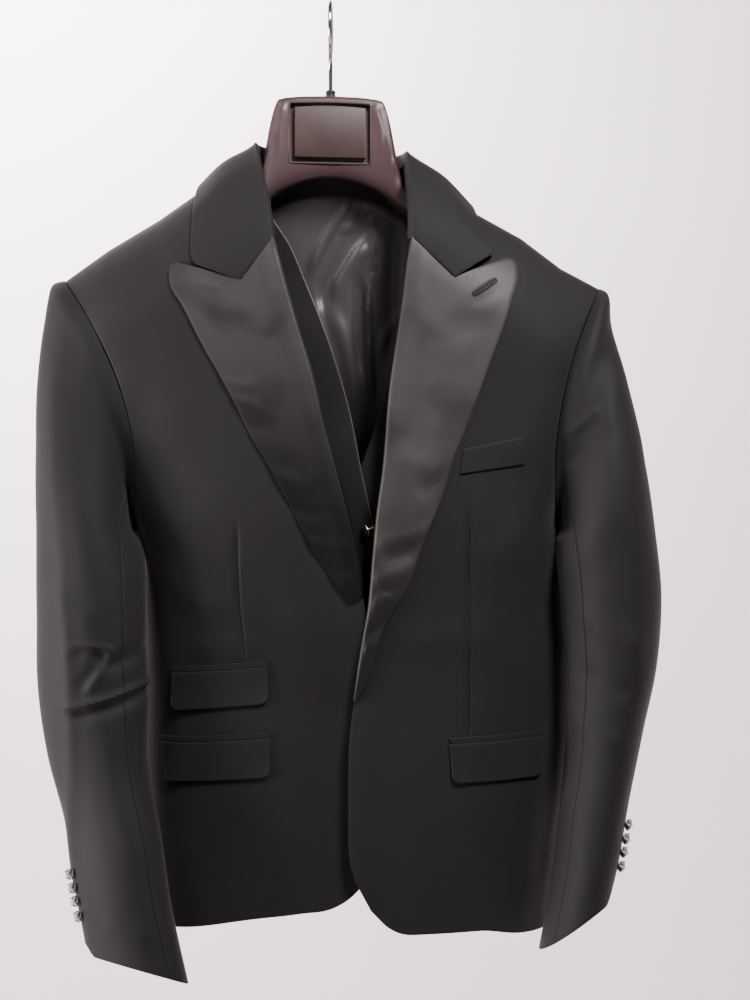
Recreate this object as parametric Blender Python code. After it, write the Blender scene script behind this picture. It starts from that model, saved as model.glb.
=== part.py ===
"""A three-piece dinner suit on a moulded suit hanger.

The jacket hangs on the hanger over the waistcoat, and the trousers are folded over the hanger's bar behind
the waistcoat. Sizes in the tables are millimetres. +X is the wearer's left, -Y the front and +Z up, and the
origin is the point inside the hook that bears on a rail. Each cloth piece is a wall made from a grid of
points: the grid is its outer face, and the inner face lies one cloth thickness behind it.
"""

import math
from collections import namedtuple

import bpy
import numpy as np
from mathutils.bvhtree import BVHTree

MM = 0.001  # tables are in millimetres, the scene in metres
FRONT, BACK, UP = (0, -1, 0), (0, 1, 0), (0, 0, 1)

# Driving sizes
CLOTH = 1.6  # wall of one garment panel with its lining
SEAM = 0.3  # gap where two pieces meet
HOOK_WIRE = 1.9  # radius
HOOK_LOOP = 24.0  # radius of the wire's centreline
SHANK_FOOT = -79.7
NUT_RADIUS, NUT_HEIGHT = 4.7, 5.2
HANGER_TILT = math.radians(1.2)  # the wearer's left side hangs lower
PLATE_Y = -13.6  # outer face of the label plate
BAR_RADIUS, BAR_Y, BAR_Z, BAR_END = 3.5, 36.0, -292.0, 200.0
TROUSER_WIDTH, TROUSER_WALL = 236.0, 7.4
TROUSER_HEM, TROUSER_WAIST = -788.0, -700.0
WAISTBAND = 45.0
COLLAR_LIFT = 3.4  # outer face of the collar's fall off the jacket under it
OVERLAP = 2.3  # how far the upper front lies outside the under one
CUFF_BUTTON = (4.8, 6.0)  # radius, height
GOLD_BUTTON = (5.6, 2.2)
CUFF_BUTTONS = {"right": (-789, -800, -812, -824), "left": (-749, -761, -773, -785)}  # levels

Section = namedtuple("Section", "z left right front back square swing", defaults=(0,))
Arm = namedtuple("Arm", "x top bottom half_depth square")
Sleeve = namedtuple("Sleeve", "outer_x outer_z inner_x inner_z mid_y half_depth bow")
Armhole = namedtuple("Armhole", "shoulder_x shoulder_z under_x under_z bow")
Collar = namedtuple("Collar", "foot_x foot_y foot_z fold_x fold_y fold_z edge_x edge_y edge_z")
Pocket = namedtuple("Pocket", "name inner_x outer_x inner_top outer_top inner_foot outer_foot lean")

# Level sections of the jacket's body: half widths to each side, depths to front and back, squareness,
# and how far the side seam lies behind the hanger's line, for the sleeves hang in front of it
JACKET = [
    Section(-120, 275, 280, 52, 84, 2.4, 0),
    Section(-260, 268, 274, 68, 84, 2.5, 0),
    Section(-330, 252, 259, 75, 88, 2.5, 0),
    Section(-400, 224, 237, 80, 93, 2.6, 0),
    Section(-450, 196, 219, 83, 95, 2.8, 0),
    Section(-482, 180, 208, 84, 95, 3.0, 0),
    Section(-520, 173, 214.5, 83, 93, 3.0, 10),
    Section(-560, 179, 222, 81, 89, 3.2, 36),
    Section(-610, 181, 228, 79, 86, 3.4, 48),
    Section(-700, 183, 227, 81, 87, 3.4, 50),
    Section(-780, 183, 217, 85, 93, 3.3, 50),
    Section(-870, 186, 207, 89, 99, 3.2, 46),
]
SWING_TURN = 6  # how late, going outwards, the body turns back to its side seams
# Shoulder line, from the wearer's right shoulder to the left
JACKET_RIDGE = [
    (-247, -258), (-206, -229), (-159, -201), (-122, -175), (-72, -146), (72, -150), (130, -192),
    (177, -218), (214, -246), (250, -265),
]
SHOULDER_ROUND = 97.0  # how far below the shoulder line the chest reaches its full depth

WAISTCOAT = [
    Section(-140, 176, 176, 34, 22, 6.0),
    Section(-260, 174, 174, 40, 22, 6.0),
    Section(-310, 172, 172, 49, 22, 4.5),
    Section(-400, 166, 168, 58, 22, 3.4),
    Section(-480, 157, 158, 64, 22, 3.0),
    Section(-600, 146, 156, 62, 22, 3.0),
    Section(-745, 146, 160, 68, 23, 3.0),
]
WAISTCOAT_ROUND = 46.0
WAISTCOAT_REST = 3.2  # outer face of its shoulders above the hanger
HANGER_CLEARANCE = 6.5  # inner face of the waistcoat's panels in front of and behind the arms
HANGER_RELEASE = 45.0  # how far below the arm a panel comes back to its own form
NECK_SIDE = 78.0  # x at which the waistcoat's neck meets its shoulders
NECK_LIFT = 1.6

HANGER = [
    Arm(0, -86, -162, 11.0, 5.0),
    Arm(30, -87, -169, 11.5, 5.0),
    Arm(45, -89, -176, 12.0, 4.6),
    Arm(50, -92, -179, 12.4, 4.2),
    Arm(56, -112, -184, 13.0, 3.6),
    Arm(60, -133, -187, 13.6, 3.2),
    Arm(65, -157, -191, 13.0, 2.8),
    Arm(77, -171, -200, 14.4, 2.5),
    Arm(104, -183, -222, 20.0, 2.4),
    Arm(132, -201, -245, 23.0, 2.4),
    Arm(160, -216, -267, 26.0, 2.4),
    Arm(190, -234, -288, 29.0, 2.4),
    Arm(209, -247, -299, 28.0, 2.4),
    Arm(217, -256, -297, 22.0, 2.4),
]

ARMHOLES = {
    "right": Armhole(-247, -258, -180, -482, 28),
    "left": Armhole(250, -265, 208, -484, -18),
}

# Sleeve sections from just under the armhole to the cuff, by their outer and inner edges
SLEEVES = {
    "right": [
        Sleeve(-259, -264, -184, -486, 0, 58, 22),
        Sleeve(-267, -300, -180, -492, -5, 61, 12),
        Sleeve(-271, -350, -176, -500, -16, 61, 5),
        Sleeve(-271, -420, -171, -517, -30, 60, 0),
        Sleeve(-269, -490, -168, -545, -40, 58, 0),
        Sleeve(-267, -560, -166, -590, -50, 55, 0),
        Sleeve(-265, -625, -164, -640, -56, 52, 0),
        Sleeve(-254, -690, -159, -700, -68, 46, 0),
        Sleeve(-235, -750, -147, -752, -85, 41, 0),
        Sleeve(-224, -805, -136, -812, -100, 38, 0),
        Sleeve(-213, -861, -119, -879, -113, 36, 0),
    ],
    "left": [
        Sleeve(257, -271, 210, -488, 0, 58, -14),
        Sleeve(261, -303, 211, -494, -3, 62, -7),
        Sleeve(271, -345, 211, -502, -18, 62, -2),
        Sleeve(285, -415, 211, -520, -34, 61, 0),
        Sleeve(296, -485, 214, -548, -36, 60, 0),
        Sleeve(302, -550, 217, -590, -38, 58, 0),
        Sleeve(298, -610, 218, -640, -41, 56, 0),
        Sleeve(286, -670, 214, -695, -47, 54, 0),
        Sleeve(274, -730, 208, -748, -56, 52, 0),
        Sleeve(263, -785, 200, -806, -67, 50, 0),
        Sleeve(254, -818, 190, -862, -76, 48, 0),
    ],
}

# Edges of the fronts as (z, x): neck, roll line, closing edge and cutaway
RIGHT_FRONT_EDGE = [
    (-146, -72), (-190, -66), (-224, -53), (-259, -44), (-294, -34), (-347, -18), (-388, -8), (-444, 7),
    (-491, 19), (-527, 26), (-570, 35), (-620, 42), (-700, 44), (-760, 43), (-800, 35),
]
LEFT_FRONT_EDGE = [
    (-150, 72), (-190, 76), (-224, 77), (-250, 73), (-283, 69), (-322, 63), (-364, 57), (-435, 51),
    (-471, 46), (-512, 42), (-557, 38), (-597, 31), (-642, 23), (-673, 19), (-720, 18), (-767, 18),
    (-795, 23), (-825, 38),
]
RIGHT_FRONT_HEM = [(-178, -848), (-126, -843), (-70, -834), (-25, -829), (2, -826), (20, -816), (35, -800)]
LEFT_FRONT_HEM = [(38, -825), (53, -840), (74, -847), (135, -846), (172, -853), (205, -858)]
BACK_NECK, BACK_HEM = -160, -836

# Lapels: the roll line and the outer edge as (x, z), and the notch
RIGHT_ROLL = [
    (-49, -225), (-40, -259), (-30, -294), (-14, -347), (-4, -388), (11, -444), (23, -491), (30, -527),
    (31, -548),
]
RIGHT_LAPEL_EDGE = [
    (-141, -252), (-139, -271), (-132, -286), (-115, -319), (-85, -372), (-71, -401), (-50, -436),
    (-21, -491), (5, -533), (21, -552),
]
RIGHT_NOTCH = (-80, -265)
LEFT_ROLL = [
    (74, -225), (70, -250), (66, -283), (60, -322), (54, -364), (48, -435), (43, -471), (39, -512),
    (35, -557), (28, -597), (22, -640),
]
LEFT_LAPEL_EDGE = [
    (168, -245), (169, -260), (165, -280), (154, -314), (144, -340), (126, -390), (112, -424),
    (104, -452), (83, -504), (71, -538), (49, -577), (35, -623), (25, -642),
]
LEFT_NOTCH = (114, -262)

# Collar stations from the right gorge over the shoulder to the back of the neck, and on to the left gorge
RIGHT_COLLAR = [
    Collar(-51, -57, -224, -50, -63, -220, -81, -71, -263),
    Collar(-54, -54, -211, -52, -58, -205, -102, -70, -257),
    Collar(-54, -47, -193, -56, -51, -187, -121, -65, -248),
    Collar(-62, -35, -174, -62, -37, -163, -125, -52, -220),
    Collar(-69, -17, -156, -67, -19, -141, -125, -36, -193),
    Collar(-71, 1, -146, -70, 1, -128, -122, 2, -168),
    Collar(-64, 15, -149, -64, 22, -128, -116, 34, -180),
    Collar(-56, 20, -151, -56, 31, -129, -103, 51, -185),
    Collar(-46, 25, -154, -47, 38, -131, -87, 62, -189),
    Collar(-22, 31, -158, -22, 46, -134, -42, 72, -194),
    Collar(0, 32, -159, 0, 49, -135, 0, 74, -195),
]
LEFT_COLLAR = [
    Collar(22, 31, -159, 22, 46, -136, 42, 72, -195),
    Collar(46, 25, -156, 47, 38, -136, 90, 66, -192),
    Collar(56, 20, -154, 56, 31, -136, 107, 51, -193),
    Collar(64, 15, -152, 64, 22, -136, 122, 34, -193),
    Collar(69, 1, -150, 71, 1, -136, 130, 2, -186),
    Collar(70, -17, -164, 73, -19, -150, 137, -30, -204),
    Collar(71, -34, -182, 74, -37, -170, 144, -45, -224),
    Collar(72, -46, -199, 76, -50, -192, 150, -54, -236),
    Collar(72, -54, -213, 77, -58, -206, 132, -65, -250),
    Collar(72, -57, -224, 76, -63, -220, 115, -69, -259),
]

WAISTCOAT_RIGHT_EDGE = [
    (-163, -78), (-187, -58), (-205, -52), (-229, -37), (-264, -22), (-304, -6), (-339, 6), (-381, 18),
    (-436, 29), (-485, 39), (-520, 42), (-690, 42),
]
WAISTCOAT_LEFT_EDGE = [
    (-166, 78), (-224, 78), (-283, 71), (-322, 64), (-362, 54), (-430, 30), (-485, 10), (-520, 4),
    (-690, 4),
]
WAISTCOAT_RIGHT_HEM = [(-150, -700), (-60, -708), (-15, -728), (10, -738), (30, -722), (42, -690)]
WAISTCOAT_LEFT_HEM = [(4, -690), (16, -722), (36, -738), (60, -728), (100, -708), (162, -700)]
WAISTCOAT_ARMHOLE = [(-206, 150), (-260, 133), (-320, 124), (-380, 124), (-430, 136), (-480, 156)]
WAISTCOAT_NECK = -172
WAISTCOAT_BUTTONS = [(34, -489), (26, -556), (26, -610), (26, -664)]  # (x, z); the top one leans out

POCKETS = [
    Pocket("ticket", -54, -141, -605, -612, -643, -651, 0),
    Pocket("right_hip", -52, -150, -668, -675, -708, -715, 0),
    Pocket("left_hip", 107, 192, -674, -670, -714, -711, 4),
]
JET, FLAP_CORNER = 5.0, 3.5
BREAST_WELT = Pocket("breast", 120, 175, -417, -405, -439, -430, -3)

POCKET_COLUMNS = (0, 0.05, 0.2, 0.35, 0.5, 0.65, 0.8, 0.95, 1)
# Shares of a panel's width and height at which its grid has points
PANEL_COLUMNS = (0, 0.12, 0.26, 0.39, 0.495, 0.535, 0.67, 0.78, 0.87, 0.94, 0.98, 1)
ARMHOLE_STEPS = 8  # rows between the shoulder point and the underarm
SHOULDER_ROWS = (0, 0.01, 0.03, 0.065, 0.12, 0.22, 0.36, 0.55, 0.78, 1)
NECK_ROWS = (0, 0.06, 0.15, 0.27, 0.4, 0.54, 0.7, 0.85, 1)
LOWER_ROWS = (0.08, 0.2, 0.34, 0.48, 0.62, 0.76, 0.88, 0.95, 1)
SLEEVE_SIDES = 16
FRONT_SEAM, BACK_SEAM = 6, 11  # sleeve columns at which the upper sleeve meets the under sleeve

Finish = namedtuple("Finish", "colour roughness metallic")
WOOL = Finish((0.017, 0.017, 0.018), 0.85, 0.0)
SATIN = Finish((0.045, 0.038, 0.038), 0.42, 0.0)
LINING = Finish((0.03, 0.028, 0.032), 0.35, 0.0)
PLASTIC = Finish((0.045, 0.022, 0.024), 0.25, 0.0)
CHROME = Finish((0.8, 0.8, 0.82), 0.12, 1.0)
GOLD = Finish((0.85, 0.6, 0.25), 0.2, 1.0)


def smooth_curve(points):
    """A function that passes smoothly through (x, y) points, and is straight past its ends."""
    x, y = np.array(sorted(points), float).T
    slope = np.diff(y) / np.diff(x)
    tangent = np.concatenate([slope[:1], (slope[:-1] + slope[1:]) / 2, slope[-1:]])
    turns = np.concatenate([[False], slope[:-1] * slope[1:] <= 0, [False]])
    tangent[turns] = 0

    def value(at):
        i = int(np.clip(np.searchsorted(x, at) - 1, 0, len(x) - 2))
        if at <= x[0] or at >= x[-1]:
            end = 0 if at <= x[0] else -1
            return float(y[end] + tangent[end] * (at - x[end]))
        h = x[i + 1] - x[i]
        t = (at - x[i]) / h
        rise = (1 + 2 * t) * (1 - t) ** 2 * y[i] + t * t * (3 - 2 * t) * y[i + 1]
        lean = t * (1 - t) ** 2 * tangent[i] - t * t * (1 - t) * tangent[i + 1]
        return float(rise + h * lean)

    return value


def along(points, share):
    """The point at that share of the length of a line of points."""
    line = np.array(points, float)
    reach = np.concatenate([[0], np.cumsum(np.linalg.norm(np.diff(line, axis=0), axis=1))])
    return [float(np.interp(share * reach[-1], reach, column)) for column in line.T]


def ease(value):
    """0 below 0, 1 above 1 and smooth between."""
    t = min(max(value, 0.0), 1.0)
    return t * t * (3 - 2 * t)


class Body:
    """The outer face of a garment's body: level sections that close in over the shoulders."""

    def __init__(self, sections, ridge, round_height):
        columns = {name: [(s.z, getattr(s, name)) for s in sections] for name in Section._fields[1:]}
        self.of = {name: smooth_curve(column) for name, column in columns.items()}
        self.ridge = ridge
        self.round_height = round_height

    def width(self, z, x):
        return self.of["left" if x < 0 else "right"](z)

    def depth(self, x, z, half):
        """The y of the face at x and z; half is -1 for the front and 1 for the back."""
        square = self.of["square"](z)
        share = min(abs(x) / self.width(z, x), 1.0)
        across = (1 - share**square) ** (1 / square)
        fall = min(max((self.ridge(x) - z) / self.round_height, 0.0), 1.0)
        over = math.sqrt(1 - (1 - fall) ** 2)
        swing = self.of["swing"](z) * share**SWING_TURN
        return swing + half * (SEAM / 2 + self.of["front" if half < 0 else "back"](z) * across * over)


def jacket_ridge():
    line = np.array(JACKET_RIDGE, float)

    def value(x):
        return float(np.interp(x, line[:, 0], line[:, 1]))

    return value


arm_sizes = {name: smooth_curve([(arm.x, getattr(arm, name)) for arm in HANGER]) for name in Arm._fields[1:]}


def over_hanger(x, z):
    """Depth of a cloth that lies over the hanger: the arm's section made larger, let go below the arm."""
    top, bottom, half, square = (arm_sizes[name](abs(x)) for name in Arm._fields[1:])
    level = z + x * math.tan(HANGER_TILT)
    middle = (top + bottom) / 2
    rise = min(max((level - middle) / (top + WAISTCOAT_REST - middle), 0.0), 1.0)
    across = (1 - rise**square) ** (1 / square)
    return (half + CLOTH + HANGER_CLEARANCE) * across * (1 - ease((bottom - level) / HANGER_RELEASE))


def waistcoat_ridge(x):
    """The waistcoat's shoulder line, which rises a little beside the neck."""
    beside_neck = NECK_LIFT * (1 - ease((abs(x) - NECK_SIDE - 2) / 20))
    top = arm_sizes["top"](max(abs(x), NECK_SIDE))
    return top + WAISTCOAT_REST + beside_neck - x * math.tan(HANGER_TILT)


class HungBody(Body):
    """A body that also stays clear of the hanger inside it."""

    def depth(self, x, z, half):
        return half * max(abs(super().depth(x, z, half)), over_hanger(x, z) + SEAM / 2)


jacket = Body(JACKET, jacket_ridge(), SHOULDER_ROUND)
waistcoat = HungBody(WAISTCOAT, waistcoat_ridge, WAISTCOAT_ROUND)


def armhole_point(side, angle):
    """(x, z) on the armhole: angle 0 is the shoulder point and 180 the underarm."""
    hole = ARMHOLES[side]
    share = math.cos(math.radians(angle))
    bow = hole.bow * math.sin(math.radians(angle)) ** 2
    x = (hole.shoulder_x + hole.under_x) / 2 + share * (hole.shoulder_x - hole.under_x) / 2 + bow
    z = (hole.shoulder_z + hole.under_z) / 2 + share * (hole.shoulder_z - hole.under_z) / 2
    return x, z


def armhole_x(side, z):
    hole = ARMHOLES[side]
    middle, half = (hole.shoulder_z + hole.under_z) / 2, (hole.shoulder_z - hole.under_z) / 2
    share = min(max((z - middle) / half, -1.0), 1.0)
    return armhole_point(side, math.degrees(math.acos(share)))[0]


def overlap(x, z):
    """How far the upper front stands out over the under front."""
    return OVERLAP * (1 - ease((x - 50) / 60)) * ease((-480 - z) / 60)


def face_normals(grid, closed=False):
    """Unit normals of a grid of points, from the differences between neighbours."""
    if closed:
        wide = np.concatenate([grid[:, -1:], grid, grid[:, :1]], axis=1)
        across = (wide[:, 2:] - wide[:, :-2]) / 2
    else:
        across = np.gradient(grid, axis=1)
    normal = np.cross(np.gradient(grid, axis=0), across)
    return normal / np.maximum(np.linalg.norm(normal, axis=2, keepdims=True), 1e-9)


def material(name, finish):
    made = bpy.data.materials.new(name)
    made.use_nodes = True
    shader = made.node_tree.nodes["Principled BSDF"]
    shader.inputs["Base Color"].default_value = (*finish.colour, 1)
    shader.inputs["Roughness"].default_value = finish.roughness
    shader.inputs["Metallic"].default_value = finish.metallic
    made.diffuse_color = (*finish.colour, 1)
    return made


def add_object(name, points, faces, finish):
    """An object from points in millimetres, with its faces turned outwards."""
    mesh = bpy.data.meshes.new(name)
    mesh.from_pydata([tuple(float(c) * MM for c in p) for p in points], [], faces)
    mesh.materials.append(material(name, finish))
    mesh.shade_smooth()
    mesh.set_sharp_from_angle(angle=math.radians(40))
    made = bpy.data.objects.new(name, mesh)
    bpy.context.scene.collection.objects.link(made)
    return made


def grid_triangles(rows, columns):
    """Triangles over a grid of points numbered row by row."""
    triangles = []
    for r in range(rows - 1):
        for c in range(columns - 1):
            i = r * columns + c
            triangles.append((i, i + columns, i + columns + 1))
            triangles.append((i, i + columns + 1, i + 1))
    return triangles


def facing(normals, way):
    """The normals, all turned round if they point away from the way given."""
    return normals if (normals.reshape(-1, 3) @ np.array(way)).mean() > 0 else -normals


def wall(name, grid, finish, normals, thickness=CLOTH):
    """A closed wall: the grid is its outer face, and the inner face lies behind it, against the normals."""
    flip = (face_normals(grid) * normals).sum() < 0
    rows, columns = grid.shape[:2]
    points = np.concatenate([grid.reshape(-1, 3), (grid - thickness * normals).reshape(-1, 3)])
    inner = rows * columns

    def at(row, column):
        return row * columns + column

    faces = []
    for a, b, c in grid_triangles(rows, columns):
        faces.append((a, b, c))
        faces.append((inner + c, inner + b, inner + a))
    border = [at(0, c) for c in range(columns)]
    border += [at(r, columns - 1) for r in range(1, rows)]
    border += [at(rows - 1, c) for c in range(columns - 2, -1, -1)]
    border += [at(r, 0) for r in range(rows - 2, 0, -1)]
    for a, b in zip(border, border[1:] + border[:1]):
        faces.append((a, b, inner + b, inner + a))
    if flip:
        faces = [face[::-1] for face in faces]
    return add_object(name, points, faces, finish)


def loft(name, rings, finish):
    """A closed solid through rings of equal numbers of points, with flat ends."""
    rings = np.array(rings, float)
    count, sides = rings.shape[:2]
    faces = []
    for r in range(count - 1):
        for s in range(sides):
            t = (s + 1) % sides
            faces.append((r * sides + s, (r + 1) * sides + s, (r + 1) * sides + t, r * sides + t))
    faces.append(tuple(range(sides)))
    faces.append(tuple((count - 1) * sides + s for s in reversed(range(sides))))
    return add_object(name, rings.reshape(-1, 3), faces, finish)


def seam_normals(grid, way, **zeroed):
    """Normals with no part along the axes given for a seam, so that its two rims face each other squarely."""
    normals = facing(face_normals(grid), way)
    places = {"top": np.s_[0, :], "side": np.s_[:, -1], "centre": np.s_[:, 0]}
    for place, axis in zeroed.items():
        edge = normals[places[place]]
        edge[..., axis] = 0
        edge /= np.maximum(np.linalg.norm(edge, axis=-1, keepdims=True), 1e-9)
    return normals


def panel_rows(edge_top, edge_foot, side, hem_z):
    """(z at the inner edge, z at the outer edge) of each row: down the armhole, then down the side seam."""
    under = ARMHOLES[side].under_z
    middle = edge_top + (edge_foot - edge_top) * 0.42
    rows = []
    for step, share in enumerate(NECK_ROWS):
        outer = armhole_point(side, 180 * step / ARMHOLE_STEPS)[1]
        rows.append((edge_top + share * (middle - edge_top), outer))
    for share in LOWER_ROWS:
        rows.append((middle + share * (edge_foot - middle), under + share * (hem_z - under)))
    return rows


def body_panel(body, half, rows, edge_x, outer_x, top_z, foot_z, stand_out):
    """A grid over the body from an inner edge to an outer one, its ends on the curves top_z and foot_z."""

    def level(row, share):
        return row[0] + share * (row[1] - row[0])

    def bend(row, share, curve):
        z = level(row, share)
        for _ in range(4):
            z = curve(edge_x(z) + share * (outer_x(z) - edge_x(z)))
        return z - level(row, share)

    top = [bend(rows[0], share, top_z) for share in PANEL_COLUMNS]
    foot = [bend(rows[-1], share, foot_z) for share in PANEL_COLUMNS]
    top[0] = top[-1] = foot[-1] = 0.0
    grid = []
    for r, row in enumerate(rows):
        line = []
        near_top, near_foot = max(0.0, 1 - r / 8), max(0.0, 1 - (len(rows) - 1 - r) / 4)
        for c, share in enumerate(PANEL_COLUMNS):
            z = level(row, share) + top[c] * near_top + foot[c] * near_foot
            x = edge_x(z) + share * (outer_x(z) - edge_x(z))
            line.append((x, body.depth(x, z, half) + half * stand_out(x, z), z))
        grid.append(line)
    return np.array(grid)


def outer_edge(side):
    """x of the jacket's armhole above the underarm, and of its side seam below it."""
    sign = -1 if side == "right" else 1
    under = ARMHOLES[side].under_z

    def value(z):
        if z >= under:
            return armhole_x(side, z)
        return sign * jacket.width(z, sign)

    return value


def armhole_normals(grid, normals, side):
    """Turns the rim at the armhole to face along the garment, as the sleeve's rim does."""
    hole = ARMHOLES[side]
    centre = (hole.shoulder_z + hole.under_z) / 2
    for r in range(ARMHOLE_STEPS + 1):
        y, z = grid[r, -1, 1], grid[r, -1, 2]
        normals[r, -1] = armhole_normal(y, z - centre)


def armhole_normal(y, z):
    out = np.array((0.0, y, z))
    return out / np.linalg.norm(out)


def lay_on(name, grid, lift, finish, thickness):
    """A wall on the front: its grid, moved out along its normals by lift, or by one lift a column."""
    grid = np.array(grid, float)
    normals = facing(face_normals(grid), FRONT)
    return wall(name, grid + normals * np.reshape(lift, (1, -1, 1)), finish, normals, thickness)


class Face:
    """The faceted outer face of a panel, to lay things on."""

    def __init__(self, *grids):
        points, faces = [], []
        for grid in grids:
            base = len(points)
            points += [tuple(p) for p in grid.reshape(-1, 3)]
            faces += [tuple(base + i for i in triangle) for triangle in grid_triangles(*grid.shape[:2])]
        self.tree = BVHTree.FromPolygons(points, faces)

    def depth(self, x, z, half):
        """y of the face at x and z, looking from the front (-1) or the back (1); None beside it."""
        place = self.tree.ray_cast((x, half * 300.0, z), (0, -half, 0))[0]
        return None if place is None else place.y


def make_jacket_body():
    """Two fronts and two backs. Returns the outer faces of each front and of the back."""
    front_grids, back_grids = {}, []
    fronts = {
        "right": (RIGHT_FRONT_EDGE, RIGHT_FRONT_HEM, lambda x, z: 0.0),
        "left": (LEFT_FRONT_EDGE, LEFT_FRONT_HEM, overlap),
    }
    for side, (edge, hem, stand_out) in fronts.items():
        outer = outer_edge(side)
        hem_z = smooth_curve(hem)
        end = hem[0][1] if side == "right" else hem[-1][1]
        rows = panel_rows(edge[0][0], edge[-1][0], side, end)
        grid = body_panel(jacket, -1, rows, smooth_curve(edge), outer, jacket.ridge, hem_z, stand_out)
        normals = seam_normals(grid, FRONT, top=1, side=[1, 2])
        armhole_normals(grid, normals, side)
        front_grids[side] = grid
        wall("jacket_front_" + side, grid, WOOL, normals)
        centre = -SEAM / 2 if side == "right" else SEAM / 2
        rows = panel_rows(BACK_NECK, BACK_HEM, side, end)
        grid = body_panel(
            jacket, 1, rows, lambda z: centre, outer, back_top,
            lambda x: BACK_HEM + (end - BACK_HEM) * (x / 180) ** 2, lambda x, z: 0.0,
        )
        normals = seam_normals(grid, BACK, top=1, side=[1, 2], centre=0)
        armhole_normals(grid, normals, side)
        back_grids.append(grid)
        wall("jacket_back_" + side, grid, WOOL, normals)
    faces = {side: Face(grid) for side, grid in front_grids.items()}
    return faces, Face(*front_grids.values()), Face(*back_grids)


def back_top(x):
    """The back's upper edge: the neckline and then the shoulder seam."""
    neck = 72.0
    if abs(x) >= neck:
        return jacket.ridge(x)
    return BACK_NECK + (jacket.ridge(math.copysign(neck, x)) - BACK_NECK) * (x / neck) ** 2


def make_lapel(face, side, roll, edge, notch):
    """A lapel: rows run from the roll line to the outer edge, and the first row dips to the notch."""
    rows, shares = 16, (0, 0.05, 0.16, 0.34, 0.56, 0.78, 1)
    bulge = (0.6, 3.2, 4.4, 3.4, 2.6, 2.2, 2.0)
    top_a, top_b = np.array(roll[0], float), np.array(edge[0], float)
    notch_share = (notch[0] - top_a[0]) / (top_b[0] - top_a[0])
    drop = notch[1] - (top_a[1] + notch_share * (top_b[1] - top_a[1]))
    grid = []
    for r in range(rows):
        v = (r / (rows - 1)) ** 1.15
        a, b = np.array(along(roll, v)), np.array(along(edge, v))
        line = []
        for u in shares:
            x, z = a + (b - a) * u
            dip = u / notch_share if u < notch_share else (1 - u) / (1 - notch_share)
            z += drop * dip * max(0.0, 1 - r / 6)
            on_front = face.depth(x, z, -1)
            if on_front is None:
                on_front = jacket.depth(x, z, -1) - (overlap(x, z) if side == "left" else 0)
            line.append((x, on_front, z))
        grid.append(line)
    lay_on("lapel_" + side, grid, [out + 0.8 for out in bulge], SATIN, 1.4)


def make_collar(front, back):
    """One band: up the stand, over the fold and down the fall, from gorge to gorge."""

    def lifted(place):
        """The place, moved off the jacket where it would sink into it."""
        x, y, z = place
        half = -1 if y < 2 else 1
        on = (front if half < 0 else back).depth(x, z, half)
        if on is None:
            return place
        lift = COLLAR_LIFT if half < 0 else COLLAR_LIFT + 3.0
        return np.array((x, half * max(half * y, half * on + lift), z))

    grid = []
    for row in RIGHT_COLLAR + LEFT_COLLAR:
        foot = np.array((row.foot_x, row.foot_y, row.foot_z), float)
        fold = np.array((row.fold_x, row.fold_y, row.fold_z), float)
        edge = np.array((row.edge_x, row.edge_y, row.edge_z), float)
        outward = np.array((fold[0], fold[1] - 8, 0.0))
        outward /= np.linalg.norm(outward)
        turn = 2.6
        inner = fold - turn * outward + (0, 0, -turn)
        outer = fold + turn * outward + (0, 0, -turn)
        middle = (outer + edge) / 2 + 3.0 * (outward + (0, 0, 1))
        foot = foot - 1.5 * outward
        grid.append([foot, inner, fold, outer, lifted(middle), lifted(edge)])
    grid = np.array(grid)
    wall("collar", grid, WOOL, facing(face_normals(grid), UP), 1.4)


def make_sleeve(side):
    """The upper and the under sleeve, lofted from the armhole to the cuff."""
    step = 360 / SLEEVE_SIDES
    rings = []
    hole = ARMHOLES[side]
    out = -1 if side == "right" else 1
    first = []
    for i in range(SLEEVE_SIDES):
        angle = i * step
        half = -1 if angle <= 180 else 1
        x, z = armhole_point(side, min(angle, 360 - angle))
        first.append((x + out * SEAM, jacket.depth(x, z, half), z))
    rings.append(first)
    for row in SLEEVES[side]:
        ring = []
        for i in range(SLEEVE_SIDES):
            angle = math.radians(i * step)
            across, turn = math.cos(angle), math.sin(angle)
            x = (row.outer_x + row.inner_x) / 2 + across * (row.outer_x - row.inner_x) / 2 + row.bow * turn**2
            z = (row.outer_z + row.inner_z) / 2 + across * (row.outer_z - row.inner_z) / 2
            ring.append((x, row.mid_y - row.half_depth * turn, z))
        rings.append(ring)
    grid = np.array(rings)
    normals = face_normals(grid, closed=True)
    if (normals * (grid - grid.mean(axis=1, keepdims=True))).sum() < 0:
        normals = -normals
    centre = (hole.shoulder_z + hole.under_z) / 2
    normals[0] = [armhole_normal(y, z - centre) for _, y, z in grid[0]]
    upper = [i % SLEEVE_SIDES for i in range(BACK_SEAM, FRONT_SEAM + SLEEVE_SIDES + 1)]
    under = list(range(FRONT_SEAM, BACK_SEAM + 1))
    for name, columns in (("upper", upper), ("under", under)):
        part = grid[:, columns].copy()
        for edge, beside in ((0, 1), (-1, -2)):
            inward = part[:, beside] - part[:, edge]
            inward /= np.linalg.norm(inward, axis=1, keepdims=True)
            part[:, edge] += inward * SEAM * 0.8
        wall(f"{name}_sleeve_{side}", part, WOOL, normals[:, columns])
    return grid, normals


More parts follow.
